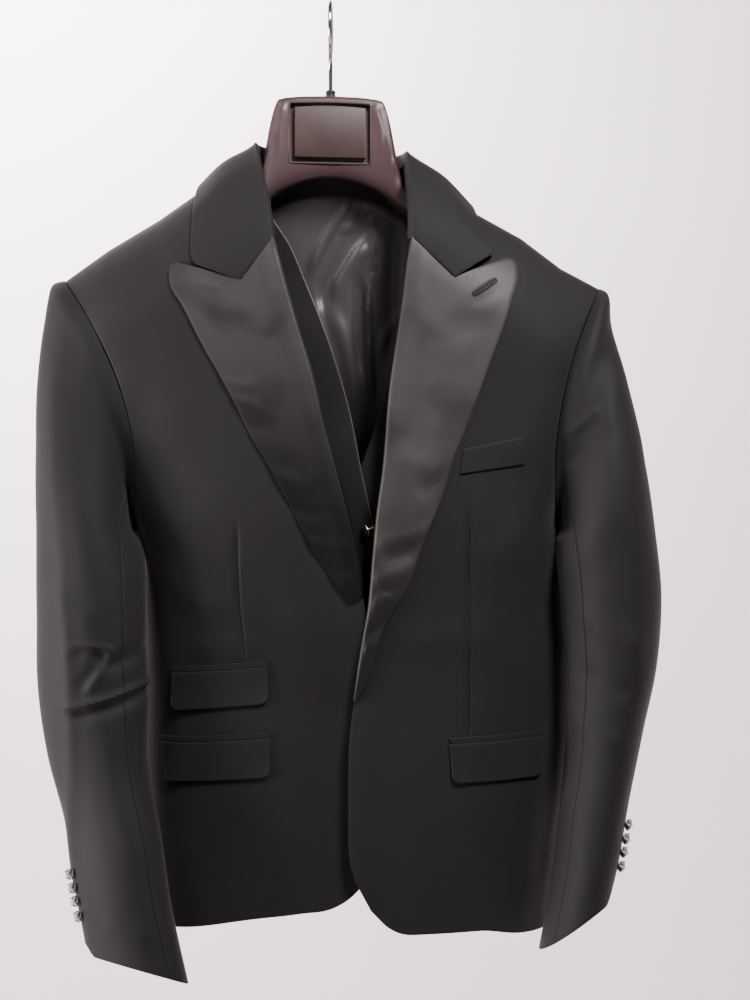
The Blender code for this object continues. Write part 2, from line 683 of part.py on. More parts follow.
def make_pocket(face, row, lift, name, top_drop, foot_drop, wall_thickness, corner=0.0):
    """A flap, jet or welt on the front, from top_drop to foot_drop below the pocket's top line.

    With no foot_drop it reaches the row's own foot. A flap's lower corners are cut off by corner.
    """
    grid = []
    for v in (0, 0.5, 0.88, 1):
        line = []
        for u in POCKET_COLUMNS:
            top = row.inner_top + u * (row.outer_top - row.inner_top) - top_drop
            foot = row.inner_foot + u * (row.outer_foot - row.inner_foot)
            if foot_drop is not None:
                foot = top - (foot_drop - top_drop)
            x = row.inner_x + u * (row.outer_x - row.inner_x) + row.lean * v * (1 - u)
            z = top + v * (foot - top)
            if v == 1 and u in (0, 1):
                z += corner
            line.append((x, face.depth(x, z, -1), z))
        grid.append(line)
    lay_on(name, grid, lift, WOOL, wall_thickness)


def make_pockets(face):
    for row in POCKETS:
        make_pocket(face, row, 2.5, f"pocket_jet_{row.name}", 0, JET, 1.2)
        make_pocket(face, row, 2.9, f"pocket_flap_{row.name}", JET + SEAM, None, CLOTH, FLAP_CORNER)
    make_pocket(face, BREAST_WELT, 2.4, "breast_welt", 0, None, 1.4)


def make_waistcoat():
    """Two fronts that button one over the other, and a satin back."""
    arm_x = smooth_curve(WAISTCOAT_ARMHOLE)
    under = WAISTCOAT_ARMHOLE[-1][0]
    shoulder = WAISTCOAT_ARMHOLE[0][0]
    sides = {
        "right": (-1, WAISTCOAT_RIGHT_EDGE, WAISTCOAT_RIGHT_HEM),
        "left": (1, WAISTCOAT_LEFT_EDGE, WAISTCOAT_LEFT_HEM),
    }

    def outer(sign):
        def value(z):
            if z < under:
                return sign * waistcoat.width(z, sign)
            full = sign * waistcoat.width(under, sign)
            return full * arm_x(min(z, shoulder)) / arm_x(under)

        return value

    def rows(edge_top, edge_foot, hem):
        middle = edge_top + (edge_foot - edge_top) * 0.5
        made = []
        for s in SHOULDER_ROWS:
            made.append((edge_top + s * (middle - edge_top), shoulder + s * (under - shoulder)))
        for s in LOWER_ROWS:
            made.append((middle + s * (edge_foot - middle), under + s * (hem - under)))
        return made

    fronts = []
    for side, (sign, edge, hem) in sides.items():
        lap = OVERLAP if side == "right" else 0.0
        spread = rows(edge[0][0], edge[-1][0], -700)
        grid = body_panel(
            waistcoat, -1, spread, smooth_curve(edge), outer(sign), waistcoat.ridge,
            smooth_curve(hem), lambda x, z, lap=lap: lap * ease((x + 60) / 50) * ease((-375 - z) / 50),
        )
        wall("waistcoat_front_" + side, grid, WOOL, seam_normals(grid, FRONT, top=1, side=1))
        fronts.append(grid)
    grid = []
    spread = rows(WAISTCOAT_NECK, -696, -696)
    for half_sign in (-1, 1):
        side_grid = body_panel(
            waistcoat, 1, spread, lambda z: 0.0, outer(half_sign), waistcoat_back_top,
            lambda x: -696.0, lambda x, z: 0.0,
        )
        grid.append(side_grid[:, ::-1] if half_sign < 0 else side_grid[:, 1:])
    grid = np.concatenate(grid, axis=1)
    wall("waistcoat_back", grid, LINING, seam_normals(grid, BACK, top=1, side=1, centre=1), 1.2)
    return Face(*fronts)


def waistcoat_back_top(x):
    if abs(x) >= NECK_SIDE:
        return waistcoat.ridge(x)
    rise = waistcoat.ridge(math.copysign(NECK_SIDE, x)) - WAISTCOAT_NECK
    return WAISTCOAT_NECK + rise * (x / NECK_SIDE) ** 2


def make_trousers():
    """The legs, folded together and laid over the bar, and the waistband at the back end."""
    turn = BAR_RADIUS + SEAM + TROUSER_WALL
    path = [(BAR_Y - turn, z) for z in np.linspace(TROUSER_HEM, BAR_Z, 8)]
    for step in range(1, 8):
        angle = math.pi * (1 - step / 8)
        path.append((BAR_Y + turn * math.cos(angle), BAR_Z + turn * math.sin(angle)))
    path += [(BAR_Y + turn, z) for z in np.linspace(BAR_Z, TROUSER_WAIST + WAISTBAND, 6)]
    half = TROUSER_WIDTH / 2
    across = [-half, -half + 4, -half / 3, half / 3, half - 4, half]
    grid = np.array([[(x, y, z) for x in across] for y, z in path])
    wall("trousers_legs", grid, WOOL, facing(face_normals(grid), UP), TROUSER_WALL)
    levels = np.linspace(TROUSER_WAIST + WAISTBAND - SEAM, TROUSER_WAIST, 4)
    band = np.array([[(x, BAR_Y + turn + 1, z) for x in across] for z in levels])
    wall("trousers_waistband", band, WOOL, facing(face_normals(band), BACK), TROUSER_WALL + CLOTH)


def tilt(x, z):
    return x, z - x * math.tan(HANGER_TILT)


def make_hanger():
    """The moulded body, its bare plate, the nut, the wire hook and the trouser bar."""
    stations = sorted({a.x for a in HANGER} | {18, 90, 118, 146, 175, 200, 214})
    stations = [-x for x in reversed(stations) if x] + list(stations)
    rings = []
    for x in stations:
        top, bottom, half, square = (arm_sizes[name](abs(x)) for name in Arm._fields[1:])
        ring = []
        for i in range(20):
            angle = 2 * math.pi * i / 20
            up, across = math.cos(angle), math.sin(angle)
            z = (top + bottom) / 2 + (top - bottom) / 2 * math.copysign(abs(up) ** (2 / square), up)
            ring.append((x, half * math.copysign(abs(across) ** (2 / square), across), tilt(x, z)[1]))
        rings.append(ring)
    loft("hanger_body", rings, PLASTIC)
    levels = (-97, -101, -143, -147)
    plate = np.array([[(x, PLATE_Y, tilt(x, z)[1]) for x in (-35, -31, 0, 31, 35)] for z in levels])
    wall("label_plate", plate, PLASTIC, facing(face_normals(plate), FRONT))
    nut_middle = SHANK_FOOT - SEAM - NUT_HEIGHT / 2
    add_cylinder("hook_nut", NUT_RADIUS, NUT_HEIGHT, (0, 0, nut_middle), UP, CHROME, 20)
    add_wire("hook", hook_path(), HOOK_WIRE, CHROME)
    side = [(BAR_END, 29.4, BAR_Z + 8), (BAR_END, BAR_Y - 3, BAR_Z + 4), (BAR_END - 4, BAR_Y, BAR_Z)]
    bar = [(-x, y, z) for x, y, z in side] + [(x, y, z) for x, y, z in reversed(side)]
    add_wire("trouser_bar", bar, BAR_RADIUS, CHROME)


def hook_path():
    """The wire's centreline: a loop with its top at the origin, and an easy bend down to the shank."""
    centre = HOOK_WIRE - HOOK_LOOP
    loop = [math.radians(a) for a in range(-50, 236, 11)]
    points = [(0, HOOK_LOOP * math.cos(a), centre + HOOK_LOOP * math.sin(a)) for a in loop]
    points += [(0, -8.6, -47.0), (0, -4.2, -51.5), (0, -1.2, -56.8), (0, 0, -63.0), (0, 0, -71.0)]
    return points + [(0, 0, SHANK_FOOT)]


def add_wire(name, points, radius, finish):
    """A round bar along a line of points, with flat ends."""
    data = bpy.data.curves.new(name, "CURVE")
    data.dimensions = "3D"
    data.bevel_depth = radius * MM
    data.bevel_resolution = 3
    data.use_fill_caps = True
    spline = data.splines.new("POLY")
    spline.points.add(len(points) - 1)
    for point, place in zip(spline.points, points):
        point.co = (*(c * MM for c in place), 1)
    data.materials.append(material(name, finish))
    made = bpy.data.objects.new(name, data)
    bpy.context.scene.collection.objects.link(made)
    return made


def add_cylinder(name, radius, height, centre, axis, finish, sides=12):
    """A round piece along an axis, with its front rim eased."""
    axis = np.array(axis, float)
    axis /= np.linalg.norm(axis)
    helper = np.array((0.0, 0.0, 1.0)) if abs(axis[2]) < 0.9 else np.array((1.0, 0.0, 0.0))
    a = np.cross(axis, helper)
    a /= np.linalg.norm(a)
    b = np.cross(axis, a)
    rings = []
    for share, wide in ((-0.5, 0.86), (-0.3, 1.0), (0.2, 1.0), (0.5, 0.72)):
        middle = np.array(centre) + axis * height * share
        turn = [2 * math.pi * i / sides for i in range(sides)]
        rings.append([middle + radius * wide * (math.cos(t) * a - math.sin(t) * b) for t in turn])
    return loft(name, rings, finish)


def make_cuff_buttons(side, grid, normals):
    """Four shank buttons in a row up the cuff's vent, on the sleeve's outer edge."""
    radius, height = CUFF_BUTTON
    column = 0
    for i, z in enumerate(CUFF_BUTTONS[side]):
        levels = grid[:, column, 2]
        low = int(np.argmax(levels < z)) - 1
        share = (levels[low] - z) / (levels[low] - levels[low + 1])
        place = grid[low, column] * (1 - share) + grid[low + 1, column] * share
        out = normals[low, column] * (1 - share) + normals[low + 1, column] * share
        name = f"cuff_button_{side}_{i + 1}"
        add_cylinder(name, radius, height, place + out * (height / 2 + SEAM + 0.5), out, CHROME)


def make_waistcoat_buttons(face):
    radius, height = GOLD_BUTTON
    for i, (x, z) in enumerate(WAISTCOAT_BUTTONS):
        y = face.depth(x, z, -1) - height / 2 - SEAM
        axis = (0, -1, 0)
        if i == 0:
            axis = (-0.75, -0.62, -0.2)
            y -= radius * 0.68
        add_cylinder(f"waistcoat_button_{i + 1}", radius, height, (x, y, z), axis, GOLD)


def main():
    for obj in list(bpy.data.objects):
        bpy.data.objects.remove(obj)
    make_hanger()
    faces, front, back = make_jacket_body()
    make_lapel(faces["right"], "right", RIGHT_ROLL, RIGHT_LAPEL_EDGE, RIGHT_NOTCH)
    make_lapel(faces["left"], "left", LEFT_ROLL, LEFT_LAPEL_EDGE, LEFT_NOTCH)
    make_collar(front, back)
    for side in SLEEVES:
        grid, normals = make_sleeve(side)
        make_cuff_buttons(side, grid, normals)
    make_pockets(front)
    make_waistcoat_buttons(make_waistcoat())
    make_trousers()


main()
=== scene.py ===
"""A three-piece dinner suit on a moulded suit hanger, as it looks.

The file is laid out as a Blender add-on and run as a script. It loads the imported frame, registers one
operator for each group of pieces and runs them in order. Sizes in the tables are millimetres. +X is the
wearer's left, -Y the front and +Z up, and the origin is the point inside the hook that bears on a rail.
"""

import math
from collections import namedtuple

import bpy
import numpy as np
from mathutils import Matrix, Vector
from mathutils.bvhtree import BVHTree


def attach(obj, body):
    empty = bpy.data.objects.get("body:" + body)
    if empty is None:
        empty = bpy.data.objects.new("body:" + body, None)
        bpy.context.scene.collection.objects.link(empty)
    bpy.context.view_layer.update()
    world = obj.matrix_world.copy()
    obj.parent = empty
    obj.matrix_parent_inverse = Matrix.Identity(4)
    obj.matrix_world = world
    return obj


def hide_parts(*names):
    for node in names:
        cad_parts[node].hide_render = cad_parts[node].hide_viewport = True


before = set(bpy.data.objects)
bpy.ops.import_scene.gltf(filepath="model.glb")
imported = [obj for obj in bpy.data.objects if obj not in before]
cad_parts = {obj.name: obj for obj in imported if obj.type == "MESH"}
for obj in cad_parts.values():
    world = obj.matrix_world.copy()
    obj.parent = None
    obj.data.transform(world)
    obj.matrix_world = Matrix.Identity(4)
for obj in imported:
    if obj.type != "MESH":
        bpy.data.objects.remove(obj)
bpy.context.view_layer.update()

bl_info = {
    "name": "Dinner suit on a hanger",
    "version": (1, 0, 0),
    "blender": (4, 5, 0),
    "location": "3D View > Sidebar > Suit",
    "description": "Builds a three-piece dinner suit hanging on a moulded hanger",
    "category": "Object",
}

MM = 0.001  # tables are in millimetres, the scene in metres
FRONT, BACK, UP = (0, -1, 0), (0, 1, 0), (0, 0, 1)

# Driving sizes
CLOTH = 1.6  # wall of one garment panel with its lining
SEAM = 0.3  # gap where two pieces meet
HOOK_WIRE = 1.9  # radius
HOOK_LOOP = 24.0  # radius of the wire's centreline
SHANK_FOOT = -79.7
NUT_RADIUS, NUT_HEIGHT = 4.7, 5.2
HANGER_TILT = math.radians(1.2)  # the wearer's left side hangs lower
BAR_RADIUS, BAR_Y, BAR_Z, BAR_END = 3.5, 36.0, -292.0, 200.0
TROUSER_WIDTH, TROUSER_WALL = 236.0, 7.4
TROUSER_HEM, TROUSER_WAIST = -788.0, -700.0
WAISTBAND = 45.0
COLLAR_LIFT = 3.4  # outer face of the collar's fall off the jacket under it
OVERLAP = 2.3  # how far the upper front lies outside the under one
OVERLAP_TOP, OVERLAP_OUTER = -480, 50  # where it starts, going down, and starts to fade, going outwards
CUFF_BUTTON = (4.8, 6.0)  # radius, height
GOLD_BUTTON = (5.6, 2.2)
CUFF_BUTTONS = {"right": (-789, -800, -812, -824), "left": (-749, -761, -773, -785)}  # levels


def table(kind, *rows):
    """Rows of one kind, each with the kind's named columns."""
    return [kind(*row) for row in rows]


Section = namedtuple("Section", "z left right front back square swing", defaults=(0,))
Arm = namedtuple("Arm", "x top bottom half_depth square")
Sleeve = namedtuple("Sleeve", "outer_x outer_z inner_x inner_z mid_y half_depth bow")
Armhole = namedtuple("Armhole", "shoulder_x shoulder_z under_x under_z bow")
Collar = namedtuple("Collar", "foot_x foot_y foot_z fold_x fold_y fold_z edge_x edge_y edge_z")
Pocket = namedtuple("Pocket", "name inner_x outer_x inner_top outer_top inner_foot outer_foot lean")

# Level sections of the jacket's body: half widths towards -X and +X, depths to front and back, squareness,
# and how far the side seam lies behind the hanger's line, for the sleeves hang in front of it
JACKET = table(
    Section,
    (-120, 275, 280, 52, 84, 2.4, 0),
    (-260, 268, 274, 68, 84, 2.5, 0),
    (-330, 252, 259, 75, 88, 2.5, 0),
    (-400, 224, 237, 80, 93, 2.6, 0),
    (-450, 196, 219, 83, 95, 2.8, 0),
    (-482, 180, 208, 84, 95, 3.0, 0),
    (-520, 173, 214.5, 83, 93, 3.0, 10),
    (-560, 179, 222, 81, 89, 3.2, 36),
    (-610, 181, 228, 79, 86, 3.4, 48),
    (-700, 183, 227, 81, 87, 3.4, 50),
    (-780, 183, 217, 85, 93, 3.3, 50),
    (-870, 186, 207, 89, 99, 3.2, 46),
)
SWING_TURN = 6  # how late, going outwards, the body turns back to its side seams
# Shoulder line, from the wearer's right shoulder to the left
JACKET_RIDGE = [
    (-247, -258), (-206, -229), (-159, -201), (-122, -175), (-72, -146), (72, -150), (130, -192),
    (177, -218), (214, -246), (250, -265),
]
SHOULDER_ROUND = 97.0  # how far below the shoulder line the chest reaches its full depth

WAISTCOAT = table(
    Section,
    (-140, 176, 176, 34, 22, 6.0),
    (-260, 174, 174, 40, 22, 6.0),
    (-310, 172, 172, 49, 22, 4.5),
    (-400, 166, 168, 58, 22, 3.4),
    (-480, 157, 158, 64, 22, 3.0),
    (-600, 146, 156, 62, 22, 3.0),
    (-745, 146, 160, 68, 23, 3.0),
)
WAISTCOAT_ROUND = 46.0
WAISTCOAT_REST = 3.2  # outer face of its shoulders above the hanger
HANGER_CLEARANCE = 6.5  # inner face of the waistcoat's panels in front of and behind the arms
HANGER_RELEASE = 45.0  # how far below the arm a panel comes back to its own form
NECK_SIDE = 78.0  # x at which the waistcoat's neck meets its shoulders
NECK_LIFT = 1.6

HANGER = table(
    Arm,
    (0, -86, -162.4, 11.0, 5.0),
    (10, -86.2, -163.0, 11.2, 5.0),
    (20, -86.5, -164.8, 11.3, 5.0),
    (30, -87, -167.8, 11.5, 5.0),
    (38, -87.8, -171.2, 11.7, 4.8),
    (45, -89, -175.0, 12.0, 4.6),
    (50, -92, -178.2, 12.4, 4.2),
    (56, -112, -184, 13.0, 3.6),
    (60, -133, -187, 13.6, 3.2),
    (65, -157, -191, 13.0, 2.8),
    (77, -171, -200, 14.4, 2.5),
    (104, -183, -222, 20.0, 2.4),
    (132, -201, -245, 23.0, 2.4),
    (160, -216, -267, 26.0, 2.4),
    (190, -234, -288, 29.0, 2.4),
    (209, -247, -299, 28.0, 2.4),
    (217, -256, -297, 22.0, 2.4),
)

ARMHOLES = {
    "right": Armhole(-247, -258, -180, -482, 28),
    "left": Armhole(250, -265, 208, -484, -18),
}

# Sleeve sections from just under the armhole to the cuff, by their outer and inner edges
SLEEVES = {
    "right": table(
        Sleeve,
        (-259, -264, -184, -486, 0, 58, 22),
        (-267, -300, -180, -492, -5, 61, 12),
        (-271, -350, -176, -500, -16, 61, 5),
        (-271, -420, -171, -517, -30, 60, 0),
        (-269, -490, -168, -545, -40, 58, 0),
        (-267, -560, -166, -590, -50, 55, 0),
        (-265, -625, -164, -640, -56, 52, 0),
        (-254, -690, -159, -700, -68, 46, 0),
        (-235, -750, -147, -752, -85, 41, 0),
        (-224, -805, -136, -812, -100, 38, 0),
        (-213, -861, -119, -879, -113, 36, 0),
    ),
    "left": table(
        Sleeve,
        (257, -271, 210, -488, 0, 58, -14),
        (261, -303, 211, -494, -3, 62, -7),
        (271, -345, 211, -502, -18, 62, -2),
        (285, -415, 211, -520, -34, 61, 0),
        (296, -485, 214, -548, -36, 60, 0),
        (302, -550, 217, -590, -38, 58, 0),
        (297, -610, 218, -640, -41, 56, 0),
        (284, -670, 214, -695, -47, 54, 0),
        (270, -730, 208, -748, -56, 52, 0),
        (259, -785, 199, -806, -67, 50, 0),
        (252, -818, 188, -862, -76, 48, 0),
    ),
}

# Edges of the fronts as (z, x): neck, roll line, closing edge and cutaway
RIGHT_FRONT_EDGE = [
    (-146, -72), (-190, -66), (-224, -53), (-259, -44), (-294, -34), (-347, -18), (-388, -8), (-444, 7),
    (-491, 19), (-527, 26), (-570, 35), (-620, 42), (-700, 44), (-760, 43), (-800, 35),
]
LEFT_FRONT_EDGE = [
    (-150, 72), (-190, 76), (-224, 77), (-250, 73), (-283, 69), (-322, 63), (-364, 57), (-435, 51),
    (-471, 46), (-512, 42), (-557, 38), (-597, 31), (-642, 23), (-673, 19), (-720, 18), (-767, 18),
    (-795, 23), (-825, 38),
]
RIGHT_FRONT_HEM = [(-178, -848), (-126, -843), (-70, -834), (-25, -829), (2, -826), (20, -816), (35, -800)]
LEFT_FRONT_HEM = [(38, -825), (53, -840), (74, -847), (135, -846), (172, -853), (205, -858)]
BACK_NECK, BACK_HEM, BACK_HEM_HALF = -160, -836, 180

# Lapels: the roll line and the outer edge as (x, z), and the notch
RIGHT_ROLL = [
    (-49, -225), (-40, -259), (-30, -294), (-14, -347), (-4, -388), (11, -444), (23, -491), (30, -527),
    (31, -548),
]
RIGHT_LAPEL_EDGE = [
    (-145, -249), (-142, -270), (-132, -286), (-115, -319), (-85, -372), (-71, -401), (-50, -436),
    (-21, -491), (5, -533), (21, -552),
]
RIGHT_NOTCH = (-80, -265)
LEFT_ROLL = [
    (74, -225), (70, -250), (66, -283), (60, -322), (54, -364), (48, -435), (43, -471), (39, -512),
    (35, -557), (28, -597), (22, -640),
]
LEFT_LAPEL_EDGE = [
    (171, -242), (171, -258), (165, -280), (154, -314), (144, -340), (126, -390), (112, -424),
    (104, -452), (83, -504), (71, -538), (49, -577), (35, -623), (25, -642),
]
LEFT_NOTCH = (114, -262)

# Collar stations from the right gorge over the shoulder to the back of the neck, and on to the left gorge
COLLAR = table(
    Collar,
    (-50.2, -57, -224.6, -48.8, -63, -224.2, -79.6, -71, -265.1),
    (-54, -54, -211, -52, -58, -205, -102, -70, -257),
    (-54, -47, -193, -56, -51, -187, -121, -65, -248),
    (-62, -35, -174, -62, -37, -163, -125, -52, -220),
    (-69, -17, -156, -67, -19, -141, -125, -36, -193),
    (-71, 1, -146, -70, 1, -128, -122, 2, -168),
    (-64, 15, -149, -64, 22, -128, -116, 34, -180),
    (-56, 20, -151, -56, 31, -129, -103, 51, -185),
    (-46, 25, -154, -47, 38, -131, -87, 62, -189),
    (-22, 31, -158, -22, 46, -134, -42, 72, -194),
    (0, 32, -159, 0, 49, -135, 0, 74, -195),
    (22, 31, -159, 22, 46, -136, 42, 72, -195),
    (46, 25, -156, 47, 38, -136, 90, 66, -192),
    (56, 20, -154, 56, 31, -136, 107, 51, -193),
    (64, 15, -152, 64, 22, -136, 122, 34, -193),
    (69, 1, -150, 71, 1, -136, 130, 2, -186),
    (70, -17, -164, 73, -19, -150, 137, -30, -204),
    (71, -34, -182, 74, -37, -170, 144, -45, -224),
    (72, -46, -199, 76, -50, -192, 150, -54, -236),
    (72, -54, -213, 77, -58, -206, 132, -65, -250),
    (71.2, -57, -225, 74.4, -63, -224.6, 113.5, -69, -262.2),
)

WAISTCOAT_RIGHT_EDGE = [
    (-163, -78), (-187, -58), (-205, -52), (-229, -37), (-264, -22), (-304, -6), (-339, 6), (-381, 18),
    (-436, 29), (-485, 39), (-520, 42), (-690, 42),
]
WAISTCOAT_LEFT_EDGE = [
    (-166, 78), (-224, 78), (-283, 71), (-322, 64), (-362, 54), (-430, 30), (-485, 10), (-520, 4),
    (-690, 4),
]
WAISTCOAT_RIGHT_HEM = [(-150, -700), (-60, -708), (-15, -728), (10, -738), (30, -722), (42, -690)]
WAISTCOAT_LEFT_HEM = [(4, -690), (16, -722), (36, -738), (60, -728), (100, -708), (162, -700)]
WAISTCOAT_ARMHOLE = [(-206, 150), (-260, 133), (-320, 124), (-380, 124), (-430, 136), (-480, 156)]
WAISTCOAT_NECK = -154
WAISTCOAT_SIDE_HEM, WAISTCOAT_BACK_HEM = -700, -696
LINING_CLEAR, LINING_CLEAR_HALF = 15.2, 60  # least depth of the waistcoat's back behind the hanger, and where
LINING_DEEPEST = -2.5
WAISTCOAT_LAP_FROM, WAISTCOAT_LAP_TOP = -60, -375  # where the upper front starts to stand out
WAISTCOAT_BUTTONS = [(34, -489), (26, -556), (26, -610), (26, -664)]  # (x, z); the top one leans out

POCKETS = table(
    Pocket,
    ("ticket", -54, -141, -605, -612, -643, -651, 0),
    ("right_hip", -52, -150, -668, -675, -708, -715, 0),
    ("left_hip", 107, 192, -674, -670, -714, -711, 4),
)
JET = 5.0  # depth of a pocket's jet
BREAST_WELT = Pocket("breast", 120, 175, -417, -405, -439, -430, -3)

POCKET_LIFT, FLAP_LIFT = 1.9, 2.5  # outer faces off the front
JET_CLOTH, WELT_CLOTH, FLAP_CLOTH, LINING_CLOTH = 1.2, 1.4, 1.5, 1.2
FLAP_CORNER, FLAP_CURL = 7.0, 1.5
POCKET_COLUMNS = (0, 0.05, 0.2, 0.35, 0.5, 0.65, 0.8, 0.95, 1)
# Shares of a panel's width and height at which its grid has points
PANEL_COLUMNS = (0, 0.12, 0.26, 0.39, 0.495, 0.535, 0.67, 0.78, 0.87, 0.94, 0.98, 1)
ARMHOLE_STEPS = 8  # rows between the shoulder point and the underarm
SHOULDER_ROWS = (0, 0.01, 0.03, 0.065, 0.12, 0.22, 0.36, 0.55, 0.78, 1)
NECK_ROWS = (0, 0.06, 0.15, 0.27, 0.4, 0.54, 0.7, 0.85, 1)
NECK_SHARE, SHOULDER_SHARE = 0.42, 0.5  # of the jacket's and waistcoat's inner edge, for those rows
LOWER_ROWS = (0.08, 0.2, 0.34, 0.48, 0.62, 0.76, 0.88, 0.95, 1)
BENT_TOP, BENT_FOOT = 8, 4  # rows of a panel that bend to its upper edge and to its hem
SLEEVE_SIDES = 16
FRONT_SEAM, BACK_SEAM = 6, 11  # sleeve columns at which the upper sleeve meets the under sleeve

Fold = namedtuple("Fold", "x0 z0 x1 z1 width height bow")  # a soft ridge (or trough) between two places

# Soft folds of each piece. The first width is across the fold, and bow bends it to one side
RIGHT_FRONT_FOLDS = table(
    Fold,
    (-128, -592, -60, -586, 9, 1.3, 4),
    (-150, -520, -92, -560, 14, 1.6, 8),
    (-172, -360, -120, -470, 16, -1.8, 10),
    (-205, -300, -150, -420, 22, 1.7, 12),
    (-84, -640, -20, -800, 26, 1.4, -10),
    (-150, -720, -120, -840, 20, 1.5, 6),
    (-81, -486, -74, -602, 1.8, -2.6, 3),
    (-40, -560, 20, -640, 16, 1.5, 6),
)
LEFT_FRONT_FOLDS = table(
    Fold,
    (60, -590, 150, -586, 12, 1.2, -3),
    (206, -300, 170, -430, 20, 1.8, -10),
    (196, -420, 150, -520, 16, 1.5, -8),
    (125, -470, 125, -680, 1.8, -2.4, 0),
    (60, -680, 90, -830, 24, 1.6, 8),
    (168, -560, 176, -700, 14, -1.6, 5),
    (30, -660, 40, -800, 16, 1.3, 8),
    (185, -720, 180, -840, 16, 1.6, 6),
)
BACK_FOLDS = table(
    Fold,
    (-60, -210, -120, -330, 20, 1.6, 8),
    (70, -215, 130, -340, 22, 1.7, -9),
    (-150, -520, -40, -560, 14, 1.8, 8),
    (160, -530, 50, -575, 15, 1.9, -6),
    (-120, -590, -30, -610, 11, 1.3, -4),
    (-90, -640, -110, -830, 24, 1.9, 8),
    (100, -650, 120, -830, 26, 2.0, -8),
    (-40, -690, -34, -830, 16, 1.2, 4),
)
LINING_FOLDS = table(
    Fold,
    (17, -180, -20, -246, 3.5, 4.2, 2),
    (34, -186, -12, -276, 6, -5.4, -2),
    (32, -222, 0, -266, 7, 3.6, 3),
    (42, -196, 8, -206, 3.5, 1.8, -2),
    (40.5, -205, 41, -262, 1.6, 2.0, 1),
    (35, -232, 46, -229, 2, -1.8, 1),
    (34, -246, 46, -242, 2, -1.6, 1),
    (35, -258, 38.5, -362, 2.4, 4.0, 1),
    (26, -254, 28, -336, 5, -4.4, 1),
    (62, -200, 58, -330, 9, -3.2, 0),
    (66, -290, 46, -318, 3, 2.8, 3),
    (2, -286, 22, -372, 7, 2.6, -5),
    (-14, -268, 4, -350, 4, 2.4, 4),
    (-90, -330, 20, -470, 12, 1.8, 10),
    (90, -340, 30, -480, 13, 2.0, -9),
    (-60, -520, 60, -540, 12, 1.6, 6),
    (-80, -580, -60, -690, 14, 2.0, 4),
    (70, -580, 80, -690, 15, 2.1, -4),
)
RIGHT_LAPEL_FOLDS = table(
    Fold,
    (-104, -352, -66, -360, 5, 1.3, 3),
    (-98, -372, -58, -384, 4, 1.3, -4),
    (-84, -392, -44, -398, 6, -1.0, 3),
    (-60, -436, -10, -446, 8, 1.2, 4),
    (-44, -470, 8, -480, 7, -1.2, -3),
    (-36, -492, 16, -504, 6, 1.5, 4),
    (-8, -520, 22, -524, 5, -1.2, 2),
    (-92, -290, -48, -310, 14, 0.8, 6),
    (-122, -262, -98, -272, 4, 0.9, 3),
)
LEFT_LAPEL_FOLDS = table(
    Fold,
    (36, -498, 92, -486, 7, 1.7, 5),
    (40, -512, 80, -504, 5, -1.5, 3),
    (34, -532, 76, -520, 6, 1.8, 4),
    (32, -547, 64, -540, 4, -1.6, -3),
    (30, -560, 56, -550, 5, 1.6, -3),
    (28, -578, 50, -570, 5, -1.3, 3),
    (26, -594, 46, -588, 5, 1.3, 2),
    (60, -420, 104, -432, 10, 1.0, 6),
    (78, -452, 100, -444, 6, -0.9, 3),
    (80, -300, 130, -330, 16, 0.8, 6),
    (128, -286, 156, -268, 6, -0.6, 2),
)
RIGHT_SLEEVE_FOLDS = table(
    Fold,
    (-228, -644, -152, -618, 2.8, 3.4, 4),
    (-226, -652, -154, -627, 5, -3.4, 4),
    (-211, -630, -188, -594, 3.2, 2.4, 2),
    (-218, -628, -197, -592, 6, -2.0, 2),
    (-226, -590, -186, -594, 2.6, 2.0, -2),
    (-224, -598, -190, -602, 6, -1.8, -2),
    (-200, -607, -158, -591, 7, -2.6, 3),
    (-248, -340, -236, -520, 9, 2.0, 6),
    (-236, -520, -226, -800, 7, 2.2, -5),
    (-216, -330, -180, -480, 16, 2.0, 10),
    (-190, -660, -160, -780, 12, 1.8, 5),
    (-250, -545, -200, -566, 14, 1.6, 5),
    (-190, -820, -150, -835, 9, 1.2, 3),
)
LEFT_SLEEVE_FOLDS = table(
    Fold,
    (211, -400, 242, -378, 5, 4.0, 4),
    (214, -424, 250, -396, 9, -2.8, 5),
    (254, -350, 252, -452, 9, 1.8, 4),
    (262, -452, 270, -640, 10, 1.6, -6),
    (226, -560, 278, -590, 12, 2.0, 6),
    (222, -610, 270, -632, 9, -1.7, 4),
    (216, -650, 262, -676, 11, 1.6, 5),
    (214, -720, 236, -800, 12, 1.3, 4),
    (268, -300, 288, -420, 14, 1.4, -6),
)
SLEEVE_BACK_FOLDS = table(
    Fold,
    (-262, -520, -190, -560, 12, 2.2, 6),
    (-250, -600, -176, -620, 10, 2.0, -5),
    (-240, -700, -200, -820, 14, 1.5, 6),
    (286, -480, 230, -530, 12, 2.2, -6),
    (290, -560, 226, -590, 10, 2.0, 5),
    (262, -680, 230, -800, 14, 1.5, -6),
)


